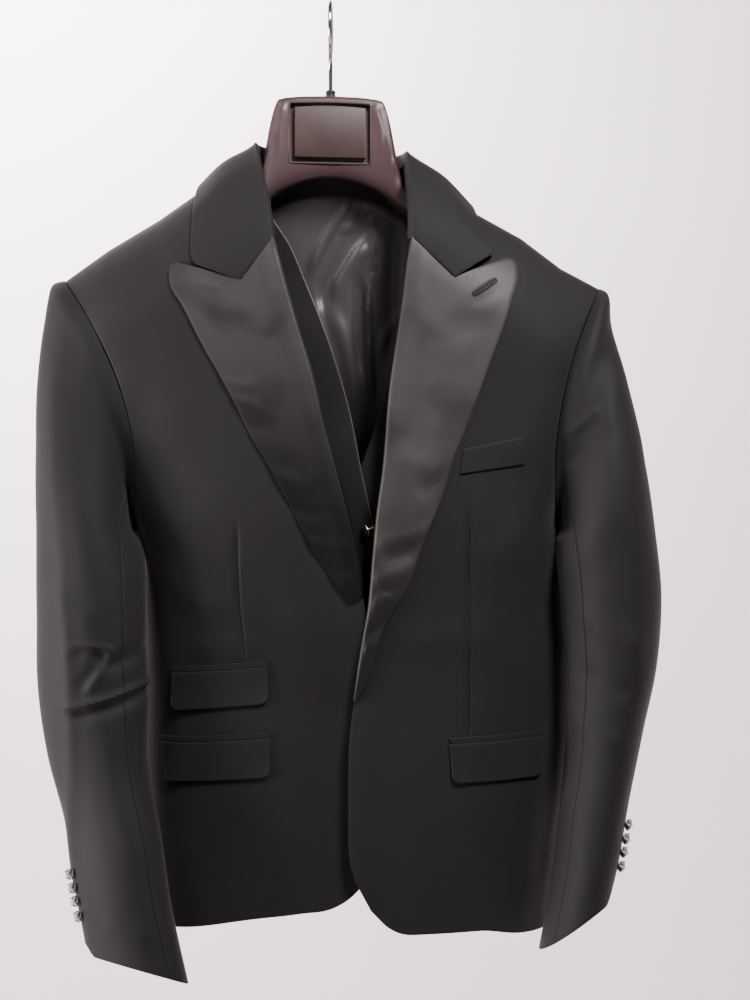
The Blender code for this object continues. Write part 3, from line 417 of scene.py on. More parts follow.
def smooth_path(places, values):
    """A function that passes smoothly through values at rising places, and is straight past its ends."""
    places, values = np.array(places, float), np.array(values, float)
    spread = (-1,) + (1,) * (values.ndim - 1)
    slope = np.diff(values, axis=0) / np.diff(places).reshape(spread)
    tangent = np.concatenate([slope[:1], (slope[:-1] + slope[1:]) / 2, slope[-1:]])
    tangent[1:-1][slope[:-1] * slope[1:] <= 0] = 0

    def value(at):
        at = np.asarray(at, float)
        i = np.clip(np.searchsorted(places, at) - 1, 0, len(places) - 2)
        wide = at.shape + (1,) * (values.ndim - 1)
        step = (places[i + 1] - places[i]).reshape(wide)
        share = (at - places[i]).reshape(wide) / step
        t = np.clip(share, 0, 1)
        rise = (1 + 2 * t) * (1 - t) ** 2 * values[i] + t * t * (3 - 2 * t) * values[i + 1]
        lean = t * (1 - t) ** 2 * tangent[i] - t * t * (1 - t) * tangent[i + 1]
        past = (share - t) * step * np.where(share < 0, tangent[0], tangent[-1])
        return rise + step * lean + past

    return value


def smooth_curve(points):
    """A smooth function through (x, y) points."""
    return smooth_path(*np.array(sorted(points), float).T)


def ease(value):
    """0 below 0, 1 above 1 and smooth between."""
    t = np.clip(value, 0.0, 1.0)
    return t * t * (3 - 2 * t)


def finer(values, parts):
    """Values with each step between them split into equal parts."""
    values = np.array(values, float)
    at = np.linspace(0, len(values) - 1, (len(values) - 1) * parts + 1)
    low = np.minimum(at.astype(int), len(values) - 2)
    share = (at - low).reshape((-1,) + (1,) * (values.ndim - 1))
    return values[low] + (values[low + 1] - values[low]) * share


def smoother(grid, parts, axis=0):
    """A grid with more points along one axis, on smooth curves through its own."""
    grid = np.moveaxis(np.asarray(grid, float), axis, 0)
    steps = np.linalg.norm(np.diff(grid, axis=0), axis=-1).reshape(len(grid) - 1, -1).mean(axis=1)
    places = np.concatenate([[0], np.cumsum(steps)])
    return np.moveaxis(smooth_path(places, grid)(finer(places, parts)), 0, axis)


def reach_along(line):
    """Distance along a line of points, at each of them."""
    return np.concatenate([[0], np.cumsum(np.linalg.norm(np.diff(line, axis=0), axis=1))])


def relief(x, z, folds):
    """How far cloth stands out at each place for its folds."""
    total = np.zeros_like(x)
    for fold in folds:
        dx, dz = fold.x1 - fold.x0, fold.z1 - fold.z0
        length = math.hypot(dx, dz)
        along = ((x - fold.x0) * dx + (z - fold.z0) * dz) / length**2
        across = ((x - fold.x0) * dz - (z - fold.z0) * dx) / length - fold.bow * 4 * along * (1 - along)
        ends = ease(along / 0.3 + 0.4) * ease((1 - along) / 0.3 + 0.4)
        total += fold.height * np.exp(-((across / fold.width) ** 2)) * ends
    return total * sizes().folds


def unevenness(x, z, size):
    """A slight waviness that no pressed cloth is without."""
    a = np.sin(x / 31 + z / 57 + 1.0) * np.sin(z / 43 - x / 71 + 0.4)
    b = np.sin(x / 17 - z / 29 + 2.0) * np.sin(z / 23 + x / 37 + 1.7)
    return size * (0.55 * a + 0.25 * b)


class Body:
    """The outer face of a garment's body: level sections that close in over the shoulders."""

    def __init__(self, sections, ridge, round_height):
        columns = {name: [(s.z, getattr(s, name)) for s in sections] for name in Section._fields[1:]}
        self.of = {name: smooth_curve(column) for name, column in columns.items()}
        self.ridge = ridge
        self.round_height = round_height

    def width(self, z, x):
        return np.where(np.asarray(x) < 0, self.of["left"](z), self.of["right"](z))

    def depth(self, x, z, half):
        """The y of the face at x and z; half is -1 for the front and 1 for the back."""
        square = self.of["square"](z)
        share = np.minimum(np.abs(x) / self.width(z, x), 1.0)
        across = (1 - share**square) ** (1 / square)
        fall = np.clip((self.ridge(x) - z) / self.round_height, 0.0, 1.0)
        over = np.sqrt(1 - (1 - fall) ** 2)
        swing = self.of["swing"](z) * share**SWING_TURN
        return swing + half * (SEAM / 2 + self.of["front" if half < 0 else "back"](z) * across * over)


def jacket_ridge(x):
    line = np.array(JACKET_RIDGE, float)
    return np.interp(x, line[:, 0], line[:, 1])


arm_sizes = {name: smooth_curve([(arm.x, getattr(arm, name)) for arm in HANGER]) for name in Arm._fields[1:]}


def over_hanger(x, z):
    """Depth of a cloth that lies over the hanger: the arm's section made larger, let go below the arm."""
    top, bottom, half, square = (arm_sizes[name](np.abs(x)) for name in Arm._fields[1:])
    level = z + x * math.tan(HANGER_TILT)
    middle = (top + bottom) / 2
    rise = np.clip((level - middle) / (top + WAISTCOAT_REST - middle), 0.0, 1.0)
    across = (1 - rise**square) ** (1 / square)
    return (half + CLOTH + HANGER_CLEARANCE) * across * (1 - ease((bottom - level) / HANGER_RELEASE))


def waistcoat_ridge(x):
    """The waistcoat's shoulder line, which rises a little beside the neck."""
    beside_neck = NECK_LIFT * (1 - ease((np.abs(x) - NECK_SIDE - 2) / 20))
    top = arm_sizes["top"](np.maximum(np.abs(x), NECK_SIDE))
    return top + WAISTCOAT_REST + beside_neck - x * math.tan(HANGER_TILT)


class HungBody(Body):
    """A body that also stays clear of the hanger inside it."""

    def depth(self, x, z, half):
        return half * np.maximum(np.abs(super().depth(x, z, half)), over_hanger(x, z) + SEAM / 2)


jacket = Body(JACKET, jacket_ridge, SHOULDER_ROUND)
waistcoat = HungBody(WAISTCOAT, waistcoat_ridge, WAISTCOAT_ROUND)


def armhole_point(side, angle):
    """(x, z) on the armhole: angle 0 is the shoulder point and 180 the underarm."""
    hole = ARMHOLES[side]
    share = np.cos(np.radians(angle))
    bow = hole.bow * np.sin(np.radians(angle)) ** 2
    x = (hole.shoulder_x + hole.under_x) / 2 + share * (hole.shoulder_x - hole.under_x) / 2 + bow
    z = (hole.shoulder_z + hole.under_z) / 2 + share * (hole.shoulder_z - hole.under_z) / 2
    return x, z


def armhole_x(side, z):
    hole = ARMHOLES[side]
    middle, half = (hole.shoulder_z + hole.under_z) / 2, (hole.shoulder_z - hole.under_z) / 2
    return armhole_point(side, np.degrees(np.arccos(np.clip((z - middle) / half, -1.0, 1.0))))[0]


def overlap(x, z):
    """How far the upper front stands out over the under front."""
    return OVERLAP * (1 - ease((x - OVERLAP_OUTER) / 60)) * ease((OVERLAP_TOP - z) / 60)


def outer_edge(side):
    """x of the jacket's armhole above the underarm, and of its side seam below it."""
    sign = -1 if side == "right" else 1
    under = ARMHOLES[side].under_z
    return lambda z: np.where(z >= under, armhole_x(side, np.maximum(z, under)), sign * jacket.width(z, sign))


def face_normals(grid, closed=False):
    """Unit normals of a grid of points, from the differences between neighbours."""
    if closed:
        wide = np.concatenate([grid[:, -1:], grid, grid[:, :1]], axis=1)
        across = (wide[:, 2:] - wide[:, :-2]) / 2
    else:
        across = np.gradient(grid, axis=1)
    normal = np.cross(np.gradient(grid, axis=0), across)
    return normal / np.maximum(np.linalg.norm(normal, axis=2, keepdims=True), 1e-9)


def outward_normals(grid):
    """Unit normals of a closed tube's grid, all pointing away from its middle."""
    normals = face_normals(grid, closed=True)
    return -normals if (normals * (grid - grid.mean(axis=1, keepdims=True))).sum() < 0 else normals


def facing(normals, way):
    """The normals, all turned round if they point away from the way given."""
    return normals if (normals.reshape(-1, 3) @ np.array(way)).mean() > 0 else -normals


def panel_rows(edge, middle_share, shares, outer, hem_z):
    """(z at the inner edge, z at the outer edge) of each row: down the armhole, then down the side seam.

    edge is the inner edge's top and foot, and the rows of the armhole end at middle_share of it. shares and
    outer place those rows on the inner edge and on the armhole, whose last level is the underarm.
    """
    top, foot = edge
    middle = top + (foot - top) * middle_share
    rows = [(top + share * (middle - top), z) for share, z in zip(shares, outer)]
    under = outer[-1]
    rows += [(middle + share * (foot - middle), under + share * (hem_z - under)) for share in LOWER_ROWS]
    return rows


def jacket_rows(edge_top, edge_foot, side, hem_z):
    levels = [armhole_point(side, 180 * step / ARMHOLE_STEPS)[1] for step in range(ARMHOLE_STEPS + 1)]
    return panel_rows((edge_top, edge_foot), NECK_SHARE, NECK_ROWS, levels, hem_z)


def body_panel(body, half, rows, edge_x, outer_x, top_z, foot_z, stand_out=lambda x, z: 0.0):
    """A grid over the body from an inner edge to an outer one, its ends on the curves top_z and foot_z."""
    share = finer(PANEL_COLUMNS, sizes().fineness)
    levels = finer(rows, sizes().fineness)
    row = np.linspace(0, len(rows) - 1, len(levels))[:, None]
    z = levels[:, :1] + share * (levels[:, 1:] - levels[:, :1])

    def bend(line, curve):
        bent = line
        for _ in range(4):  # each pass brings it nearer
            bent = curve(edge_x(bent) + share * (outer_x(bent) - edge_x(bent)))
        return bent - line

    top, foot = bend(z[0], top_z), bend(z[-1], foot_z)
    top[0] = top[-1] = foot[-1] = 0.0
    z = z + top * np.maximum(0, 1 - row / BENT_TOP)
    z = z + foot * np.maximum(0, 1 - (len(rows) - 1 - row) / BENT_FOOT)
    x = edge_x(z) + share * (outer_x(z) - edge_x(z))
    return np.stack([x, body.depth(x, z, half) + half * stand_out(x, z), z], axis=-1)


TOP_MARGIN, SIDE_MARGIN = 0.05, 0.07  # shares of a panel along its rims in which its folds die out


def folded(grid, way, folds, keep_rims=("top", "side"), waviness=0.6):
    """The grid moved out along its normals by its folds, and left as it is along the rims named."""
    rows, columns = grid.shape[:2]
    down = np.linspace(0, 1, rows)[:, None]
    across = np.linspace(0, 1, columns)[None, :]
    margin = {
        "top": ease(down / TOP_MARGIN), "side": ease((1 - across) / SIDE_MARGIN),
        "centre": ease(across / SIDE_MARGIN),
    }
    hold = np.ones((rows, columns))
    for rim in keep_rims:
        hold = hold * margin[rim]
    x, z = grid[..., 0], grid[..., 2]
    height = relief(x, z, folds) + unevenness(x, z, waviness)
    return grid + (height * hold)[..., None] * facing(face_normals(grid), way)


def linear(code):
    """An sRGB hex value as the linear colour that a shader takes."""
    parts = [int(code[i : i + 2], 16) / 255 for i in (1, 3, 5)]
    return tuple(c / 12.92 if c <= 0.04045 else ((c + 0.055) / 1.055) ** 2.4 for c in parts)


def colour_property(name, description, code):
    return bpy.props.FloatVectorProperty(
        name=name, description=description, subtype="COLOR", size=3, min=0.0, max=1.0, default=linear(code)
    )


def size_property(name, description, size):
    return bpy.props.FloatProperty(name=name, description=description, default=size, unit="LENGTH")


class SuitSizes(bpy.types.PropertyGroup):
    """Sizes that change how the suit is made up."""

    cloth: size_property("Cloth", "Thickness of a garment panel", CLOTH * MM)
    satin: size_property("Lapel", "Thickness of a lapel or collar", 1.4 * MM)
    folds: bpy.props.FloatProperty(
        name="Folds", description="Strength of the soft folds in the cloth", default=1.0, min=0, max=2
    )
    fineness: bpy.props.IntProperty(
        name="Fineness", description="Parts of each step of a panel's grid", default=8, min=1, max=10
    )
    view_height: size_property("Eye level", "Height of the camera, from the rail", -0.462)
    view_distance: size_property("View distance", "Distance of the camera in front of the rail", 1.66)


class SuitColours(bpy.types.PropertyGroup):
    """Colours of the suit's materials."""

    wool: colour_property("Wool", "Worsted wool of the jacket, waistcoat and trousers", "#110f11")
    satin: colour_property("Satin", "Silk satin of the lapels", "#171515")
    lining: colour_property("Lining", "Lining satin of the waistcoat's back", "#3a3639")
    plastic: colour_property("Hanger", "Moulded plastic of the hanger", "#341d1f")
    plate: colour_property("Label plate", "Moulded plastic of the label plate", "#2c1816")
    chrome: colour_property("Chrome", "Plated steel of the hook and cuff buttons", "#d4d4d8")
    gold: colour_property("Gold", "Gilt metal of the waistcoat's buttons", "#e6cb9c")
    thread: colour_property("Thread", "Sewing thread", "#151416")
    backdrop: colour_property("Backdrop", "Painted board behind the suit", "#ebe2e6")


def sizes():
    return bpy.context.scene.suit_sizes


def colours():
    return bpy.context.scene.suit_colours


def node(made, kind, inputs=None, **settings):
    """Adds a node to a material, with its settings, input values and links, and returns it."""
    added = made.node_tree.nodes.new("ShaderNode" + kind)
    for name, value in settings.items():
        setattr(added, name, value)
    for name, value in (inputs or {}).items():
        if isinstance(value, bpy.types.NodeSocket):
            made.node_tree.links.new(value, added.inputs[name])
        else:
            added.inputs[name].default_value = value
    return added


def new_material(name, **shader_values):
    """A material with its Principled shader, whose constants stand on the shader's own sockets."""
    made = bpy.data.materials.new(name)
    made.use_nodes = True
    shader = made.node_tree.nodes["Principled BSDF"]
    for socket, value in shader_values.items():
        shader.inputs[socket.replace("_", " ")].default_value = value
    return made, shader


def tinted(made, colour, factor, dark, light):
    """The colour, scaled between dark and light by a factor from 0 to 1."""
    dim = (*(c * dark for c in colour), 1)
    bright = (*(min(c * light, 1.0) for c in colour), 1)
    mixed = node(made, "Mix", {"Factor": factor, "A": dim, "B": bright}, data_type="RGBA", clamp_factor=True)
    return mixed.outputs["Result"]


CUT_MAP = "cut"
METRE_OF_CUT = 1000.0  # the map holds metres of cloth, and the patterns below are scaled in millimetres


def cloth_place(made, scale_u, scale_v):
    """The place on the cut cloth, in metres across and along the panel, times a scale each way."""
    cut = node(made, "UVMap", uv_map=CUT_MAP).outputs["UV"]
    return node(made, "Mapping", {"Vector": cut, "Scale": (scale_u, scale_v, 1)}).outputs["Vector"]


def solid_place(made):
    """The place in the piece itself, in metres."""
    return node(made, "TexCoord").outputs["Object"]


def noise(made, place, scale, detail=2.0, **more):
    """The grey value of a cloudy pattern at a place."""
    return node(made, "TexNoise", {"Vector": place, "Scale": scale, "Detail": detail, **more}).outputs["Fac"]


def ranged(made, value, low, high, ends=(0.0, 1.0), curve="LINEAR"):
    """A value between ends, brought to lie between low and high."""
    inputs = {"Value": value, "From Min": ends[0], "From Max": ends[1], "To Min": low, "To Max": high}
    return node(made, "MapRange", inputs, interpolation_type=curve).outputs["Result"]


def combined(made, a, b, operation):
    """Two values added or multiplied."""
    return node(made, "Math", {0: a, 1: b}, operation=operation).outputs[0]


def surface(made, shader, colour, roughness=None, height=None, strength=0.0, distance=0.0002):
    """Gives the shader its changing colour and roughness, and a bump of the height given."""
    made.node_tree.links.new(colour, shader.inputs["Base Color"])
    if roughness is not None:
        made.node_tree.links.new(roughness, shader.inputs["Roughness"])
    if height is not None:
        bump = node(made, "Bump", {"Height": height, "Strength": strength, "Distance": distance})
        made.node_tree.links.new(bump.outputs["Normal"], shader.inputs["Normal"])
    return made


def worsted_wool(name, colour, nap=1.0):
    """Worsted wool, woven as a fine twill and pressed: matt and black, with a soft bloom on its turns."""
    made, shader = new_material(
        name, Roughness=0.72, Sheen_Weight=0.1 * nap, Sheen_Roughness=0.5, Specular_IOR_Level=0.2,
        Sheen_Tint=(0.6, 0.55, 0.56, 1),
    )
    twill_step, nap_size, wear_size = 1.6, 0.7, 90.0  # mm; the real twill is 0.5 mm and wouldn't show
    twill_angle = 52
    place = cloth_place(made, METRE_OF_CUT, METRE_OF_CUT)
    turned = node(made, "Mapping", {"Vector": place, "Rotation": (0, 0, math.radians(twill_angle))})
    waves = {"Scale": math.tau / 20 / twill_step, "Distortion": 1.2, "Detail": 1.0, "Detail Scale": 1.5}
    wave = node(made, "TexWave", {"Vector": turned.outputs["Vector"], **waves}, wave_profile="SIN")
    fibres = noise(made, place, 1 / nap_size, 3.0, Roughness=0.6)
    broad = noise(made, place, 1 / wear_size, 3.0, Roughness=0.55)
    grain = combined(made, fibres, wave.outputs["Fac"], "MULTIPLY")
    shade = combined(made, combined(made, grain, broad, "ADD"), 0.75, "MULTIPLY")
    return surface(made, shader, tinted(made, colour, shade, 0.55, 1.5), None, grain, 0.22, 0.0003)


def silk_satin(name, colour, roughness, sheen, specular=0.42, bright=1.3, painted_shade_span=None):
    """Satin, woven so that its long floats lie side by side: smooth, with a broad soft gloss along the folds.

    painted_shade_span is where the colour starts and ends to darken down the cloth, in metres: painted shade,
    standing in for the satin turning from the light.
    """
    made, shader = new_material(
        name, Sheen_Weight=sheen, Sheen_Roughness=0.3, Specular_IOR_Level=specular,
        Sheen_Tint=(0.8, 0.76, 0.74, 1),
    )
    float_width, slub_length, cloud_size = 0.9, 14.0, 60.0  # mm; real floats are 0.2 mm wide
    across = cloth_place(made, METRE_OF_CUT / float_width, METRE_OF_CUT / slub_length)
    floats = noise(made, across, 1.0)
    cloud = noise(made, cloth_place(made, METRE_OF_CUT / cloud_size, METRE_OF_CUT / cloud_size), 1.0)
    gloss = ranged(made, floats, roughness - 0.05, roughness + 0.07)
    if painted_shade_span is None:
        dark = 0.75
        shade = combined(made, combined(made, floats, cloud, "ADD"), 0.5, "MULTIPLY")
    else:
        # Painted sheen and shade: in place of the satin's gloss, the base colour runs from 0.3 to bright
        # times the colour, in broad light and dark patches and darker down the cloth.
        dark = 0.3
        down = node(made, "SeparateXYZ", {"Vector": cloth_place(made, 1, 1)}).outputs["Y"]
        painted_sheen_patches = ranged(made, cloud, 1.0, 0.5, (0.44, 0.6))
        painted_shade_down = ranged(made, down, 1.0, 0.0, painted_shade_span, "SMOOTHSTEP")
        shade = combined(made, painted_sheen_patches, painted_shade_down, "MULTIPLY")
    return surface(made, shader, tinted(made, colour, shade, dark, bright), gloss, floats, 0.12)


def moulded_plastic(name, colour, roughness, grain_height):
    """Polystyrene, injection moulded and polished: dark, under a clear gloss with faint flow marks."""
    made, shader = new_material(name, Specular_IOR_Level=0.5, IOR=1.59, Coat_Weight=0.05, Coat_Roughness=0.3)
    flow_size, grain_size = 45.0, 1.4  # mm
    place = solid_place(made)
    flow = noise(made, place, METRE_OF_CUT / flow_size, 3.0, Distortion=0.6)
    grain = noise(made, place, METRE_OF_CUT / grain_size)
    gloss = ranged(made, flow, roughness - 0.05, roughness + 0.1)
    return surface(made, shader, tinted(made, colour, flow, 0.7, 1.35), gloss, grain, grain_height)


def polished_metal(name, colour, roughness):
    """Steel or brass, turned or drawn and then plated: mirror bright, with fine rubbing marks."""
    made, shader = new_material(name, Metallic=1.0)
    mark_size = 2.2  # mm
    marks = noise(made, solid_place(made), METRE_OF_CUT / mark_size, 4.0, Roughness=0.7)
    gloss = ranged(made, marks, roughness * 0.6, roughness * 1.6)
    return surface(made, shader, tinted(made, colour, marks, 0.85, 1.08), gloss)


def sewing_thread(name, colour):
    """Mercerised cotton thread, twisted: dark, with painted highlight bands for the silky gloss on each
    twist.
    """
    made, shader = new_material(name, Roughness=0.6, Specular_IOR_Level=0.3)
    twist_size = 6  # mm
    waves = {"Vector": solid_place(made), "Scale": METRE_OF_CUT / twist_size, "Distortion": 0.5}
    painted_twist_gloss = node(made, "TexWave", waves).outputs["Fac"]
    # Painted highlight: the colour is lighter in bands along the thread, for the gloss on each twist.
    return surface(made, shader, tinted(made, colour, painted_twist_gloss, 0.8, 1.3))


def painted_board(name, colour):
    """Board with matt paint: pale and even, with the faint clouding of a roller."""
    made, shader = new_material(name, Roughness=0.9, Specular_IOR_Level=0.1)
    cloud = noise(made, solid_place(made), 2.2)
    return surface(made, shader, tinted(made, colour, cloud, 0.96, 1.03))


# Each material's maker, colour and shade of it, and the rest of what its maker takes
MATERIALS = {
    "jacket_worsted": (worsted_wool, "wool", 1),
    # The waistcoat's wool is the suit's wool darkened to 0.4 with little nap: painted shade, for the
    # waistcoat lies in the shade of the lapels.
    "waistcoat_worsted": (worsted_wool, "wool", 0.4, 0.15),
    "trouser_worsted": (worsted_wool, "wool", 1),
    # The lapels carry painted sheen and painted shade in their colour: bright at the top and darkening down
    # each lapel, the right one sooner than the left.
    "right_lapel_satin": (silk_satin, "satin", 1, 0.5, 0.03, 0.2, 3.6, (0.02, 0.26)),
    "left_lapel_satin": (silk_satin, "satin", 1, 0.5, 0.05, 0.25, 3.7, (0.17, 0.42)),
    "lining_satin_cloth": (silk_satin, "lining", 1, 0.34, 0.06),
    # Pale satin for the right front's corded edge: a painted highlight along it.
    "edge_satin": (silk_satin, "lining", 1.2, 0.36, 0.15),
    "hanger_polystyrene": (moulded_plastic, "plastic", 1, 0.46, 0.08),
    "plate_polystyrene": (moulded_plastic, "plate", 1, 0.45, 0.15),
    "plated_steel": (polished_metal, "chrome", 1, 0.14),
    # Chrome darkened to near black; on the cuff buttons' discs this is painted reflection of dark
    # surroundings.
    "blackened_steel": (polished_metal, "chrome", 0.12, 0.3),
    "brushed_steel": (polished_metal, "chrome", 1, 0.27),
    "gilt_brass": (polished_metal, "gold", 1, 0.34),
    "cotton_thread": (sewing_thread, "thread", 1),
    "matt_board": (painted_board, "backdrop", 1),
}


def material_of(kind):
    """The material of that name, made the first time that it is asked for."""
    if kind in bpy.data.materials:
        return bpy.data.materials[kind]
    maker, colour, shade, *rest = MATERIALS[kind]
    return maker(kind, tuple(c * shade for c in getattr(colours(), colour)), *rest)


def linked(name, data):
    """A new object with that data, in the scene."""
    made = bpy.data.objects.new(name, data)
    bpy.context.scene.collection.objects.link(made)
    return made


def mesh_of(name, points, faces):
    """A mesh from points in millimetres."""
    mesh = bpy.data.meshes.new(name)
    mesh.from_pydata((np.asarray(points, float) * MM).tolist(), [], faces)
    return mesh


def new_object(name, points, faces, material, slot, cut=None, sharp=40.0):
    """An object from points in millimetres. cut gives each point's place on the cut cloth, in metres."""
    mesh = mesh_of(name, points, faces)
    mesh.materials.append(material_of(material))
    if cut is not None:
        corners = np.empty(len(mesh.loops), int)
        mesh.loops.foreach_get("vertex_index", corners)
        mesh.uv_layers.new(name=CUT_MAP).data.foreach_set("uv", np.asarray(cut, float)[corners].ravel())
    mesh.shade_smooth()
    mesh.set_sharp_from_angle(angle=math.radians(sharp))
    made = linked(name, mesh)
    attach(made, "root")
    return made


def grid_quads(rows, columns):
    """Quads between the points of a grid, numbered row by row."""
    low = (np.arange(rows - 1)[:, None] * columns + np.arange(columns - 1)).ravel()
    return np.stack([low, low + columns, low + columns + 1, low + 1], axis=1)


def capped_faces(sides, rings):
    """Faces of a closed form made of rings of points, with both ends shut."""
    faces = []
    for low in range(0, (rings - 1) * sides, sides):
        for a in range(sides):
            b = (a + 1) % sides
            faces.append((low + a, low + sides + a, low + sides + b, low + b))
    faces.append(tuple(range(sides)))
    faces.append(tuple((rings - 1) * sides + i for i in reversed(range(sides))))
    return faces


def border_of(rows, columns):
    """(row, column) of each point round the edge of a grid, in order."""
    around = [(0, c) for c in range(columns)]
    around += [(r, columns - 1) for r in range(1, rows)]
    around += [(rows - 1, c) for c in range(columns - 2, -1, -1)]
    return around + [(r, 0) for r in range(rows - 2, 0, -1)]


ROUND_RIM = ((1.0, 0.0), (0.3, 0.14), (0.0, 0.5), (0.3, 0.86), (1.0, 1.0))  # (inset, depth) shares of an edge
LAYERED_RIM = (  # four layers of cloth, each with a round edge
    (1.0, 0.0), (0.2, 0.03), (0.0, 0.12), (0.2, 0.22), (1.0, 0.25), (0.2, 0.28), (0.0, 0.37), (0.2, 0.47),
    (1.0, 0.5), (0.2, 0.53), (0.0, 0.63), (0.2, 0.72), (1.0, 0.75), (0.2, 0.78), (0.0, 0.88), (0.2, 0.97),
    (1.0, 1.0),
)


def cloth(name, grid, way, material, slot, thickness=None, rim=ROUND_RIM, roll=None, normals=None):
    """A closed cloth panel: the grid is its outer face, and its edges are turned round."""
    if thickness is None:
        thickness = sizes().cloth / MM
    if normals is None:
        normals = facing(face_normals(grid), way)
    roll = thickness / 2 if roll is None else roll
    rows, columns = grid.shape[:2]
    around = border_of(rows, columns)
    at = np.array(around)
    inward = np.zeros_like(grid)
    inward[0] += unit(grid[1] - grid[0])
    inward[-1] += unit(grid[-2] - grid[-1])
    inward[:, 0] += unit(grid[:, 1] - grid[:, 0])
    inward[:, -1] += unit(grid[:, -2] - grid[:, -1])
    inward = unit(inward)
    outer = grid + roll * inward
    inner = outer - thickness * normals
    count = rows * columns
    points = [outer.reshape(-1, 3), inner.reshape(-1, 3)]
    for inset, depth in rim[1:-1]:
        ring = grid + roll * inset * inward - thickness * depth * normals
        points.append(ring[at[:, 0], at[:, 1]])
    quads = grid_quads(rows, columns)
    faces = quads.tolist() + (count + quads[:, ::-1]).tolist()
    edge = len(around)
    numbers = [[r * columns + c for r, c in around]]
    numbers += [[2 * count + k * edge + i for i in range(edge)] for k in range(len(rim) - 2)]
    numbers.append([count + n for n in numbers[0]])
    for ring, after in zip(numbers, numbers[1:]):
        for i in range(edge):
            j = (i + 1) % edge
            faces.append((ring[i], ring[j], after[j], after[i]))
    if (face_normals(grid) * normals).sum() < 0:
        faces = [face[::-1] for face in faces]
    u = np.mean([reach_along(row) for row in grid[:: max(rows // 8, 1)]], axis=0)
    v = np.mean([reach_along(line) for line in np.moveaxis(grid, 1, 0)[:: max(columns // 8, 1)]], axis=0)
    flat = np.stack(np.broadcast_arrays(u[None, :], v[:, None]), axis=-1) * MM
    cut = np.concatenate([flat.reshape(-1, 2)] * 2 + [flat[at[:, 0], at[:, 1]]] * (len(rim) - 2))
    return new_object(name, np.concatenate(points), faces, material, slot, cut)


def unit(vectors):
    return vectors / np.maximum(np.linalg.norm(vectors, axis=-1, keepdims=True), 1e-9)


class Face:
    """The outer face of a panel, to lay things on."""

    def __init__(self, *grids):
        points, faces = [], []
        for grid in grids:
            faces += (grid_quads(*grid.shape[:2]) + len(points)).tolist()
            points += grid.reshape(-1, 3).tolist()
        self.tree = BVHTree.FromPolygons(points, faces)

    def depth(self, x, z, half):
        """y of the face at x and z, looking from the front (-1) or the back (1); None beside it."""
        place = self.tree.ray_cast((x, half * 300.0, z), (0, -half, 0))[0]
        return None if place is None else place.y


def laid(face, grid, lift):
    """The grid's places, moved to lie on a face and out from it by lift."""
    out = np.array(grid, float)
    for index in np.ndindex(out.shape[:2]):
        x, _, z = out[index]
        y = face.depth(x, z, -1)
        out[index][1] = face.depth(x * 0.98, z + 2, -1) if y is None else y
    return out + lift * facing(face_normals(out), FRONT)


def tube(name, points, radius, material, cyclic=False, resolution=6):
    """A round wire or thread along points in millimetres."""
    data = bpy.data.curves.new(name, "CURVE")
    data.dimensions = "3D"
    data.bevel_depth = radius * MM
    data.bevel_resolution = resolution
    data.use_fill_caps = not cyclic
    spline = data.splines.new("POLY")
    spline.points.add(len(points) - 1)
    for point, place in zip(spline.points, points):
        point.co = (*(c * MM for c in place), 1)
    spline.use_cyclic_u = cyclic
    data.materials.append(material_of(material))
    made = linked(name, data)
    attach(made, "root")
    return made


def lathe(profile, centre, axis, sides=40):
    """Points and faces of a turned form: profile is (radius, distance along the axis)."""
    axis = unit(np.array(axis, float))
    helper = np.array((0.0, 0.0, 1.0)) if abs(axis[2]) < 0.9 else np.array((1.0, 0.0, 0.0))
    a = unit(np.cross(axis, helper))
    b = np.cross(axis, a)
    turn = np.linspace(0, math.tau, sides, endpoint=False)
    points = [
        np.array(centre) + axis * along + radius * (math.cos(t) * a - math.sin(t) * b)
        for radius, along in profile
        for t in turn
    ]
    return points, capped_faces(sides, len(profile))


def joined(*forms):
    """Several (points, faces) forms as one."""
    points, faces = [], []
    for some_points, some_faces in forms:
        faces += [tuple(i + len(points) for i in face) for face in some_faces]
        points += [tuple(p) for p in some_points]
    return points, faces


FREE_EDGE, FREE_INNER, FREE_TOP = 3.5, 20, -600  # how far the left edge stands out, and where from
FALLEN_EDGE, FALLEN_OUTER, FALLEN_TOP = 7.0, -42, -560  # how far the right edge falls back, and where from


def closing_gap(side):
    """How far a front stands out at its closing edge: the upper hangs free, and the under one falls back."""
    if side == "left":
        return lambda x, z: (
            overlap(x, z) + FREE_EDGE * (1 - ease((x - FREE_INNER) / 45)) * ease((FREE_TOP - z) / 90)
        )
    return lambda x, z: -FALLEN_EDGE * ease((x - FALLEN_OUTER) / 55) * ease((FALLEN_TOP - z) / 90)


def front_grid(side):
    """The outer face of a jacket front, with its folds and its dart."""
    edge, hem, folds = {
        "right": (RIGHT_FRONT_EDGE, RIGHT_FRONT_HEM, RIGHT_FRONT_FOLDS),
        "left": (LEFT_FRONT_EDGE, LEFT_FRONT_HEM, LEFT_FRONT_FOLDS),
    }[side]
    end = hem[0][1] if side == "right" else hem[-1][1]
    rows = jacket_rows(edge[0][0], edge[-1][0], side, end)
    grid = body_panel(
        jacket, -1, rows, smooth_curve(edge), outer_edge(side), jacket_ridge, smooth_curve(hem),
        closing_gap(side),
    )
    return folded(grid, FRONT, folds)


NECK_HALF = 72.0  # half the width of the jacket's back neck


def back_top(x):
    """The back's upper edge: the neckline and then the shoulder seam."""
    dip = BACK_NECK + (jacket_ridge(np.copysign(NECK_HALF, x)) - BACK_NECK) * (x / NECK_HALF) ** 2
    return np.where(np.abs(x) >= NECK_HALF, jacket_ridge(x), dip)


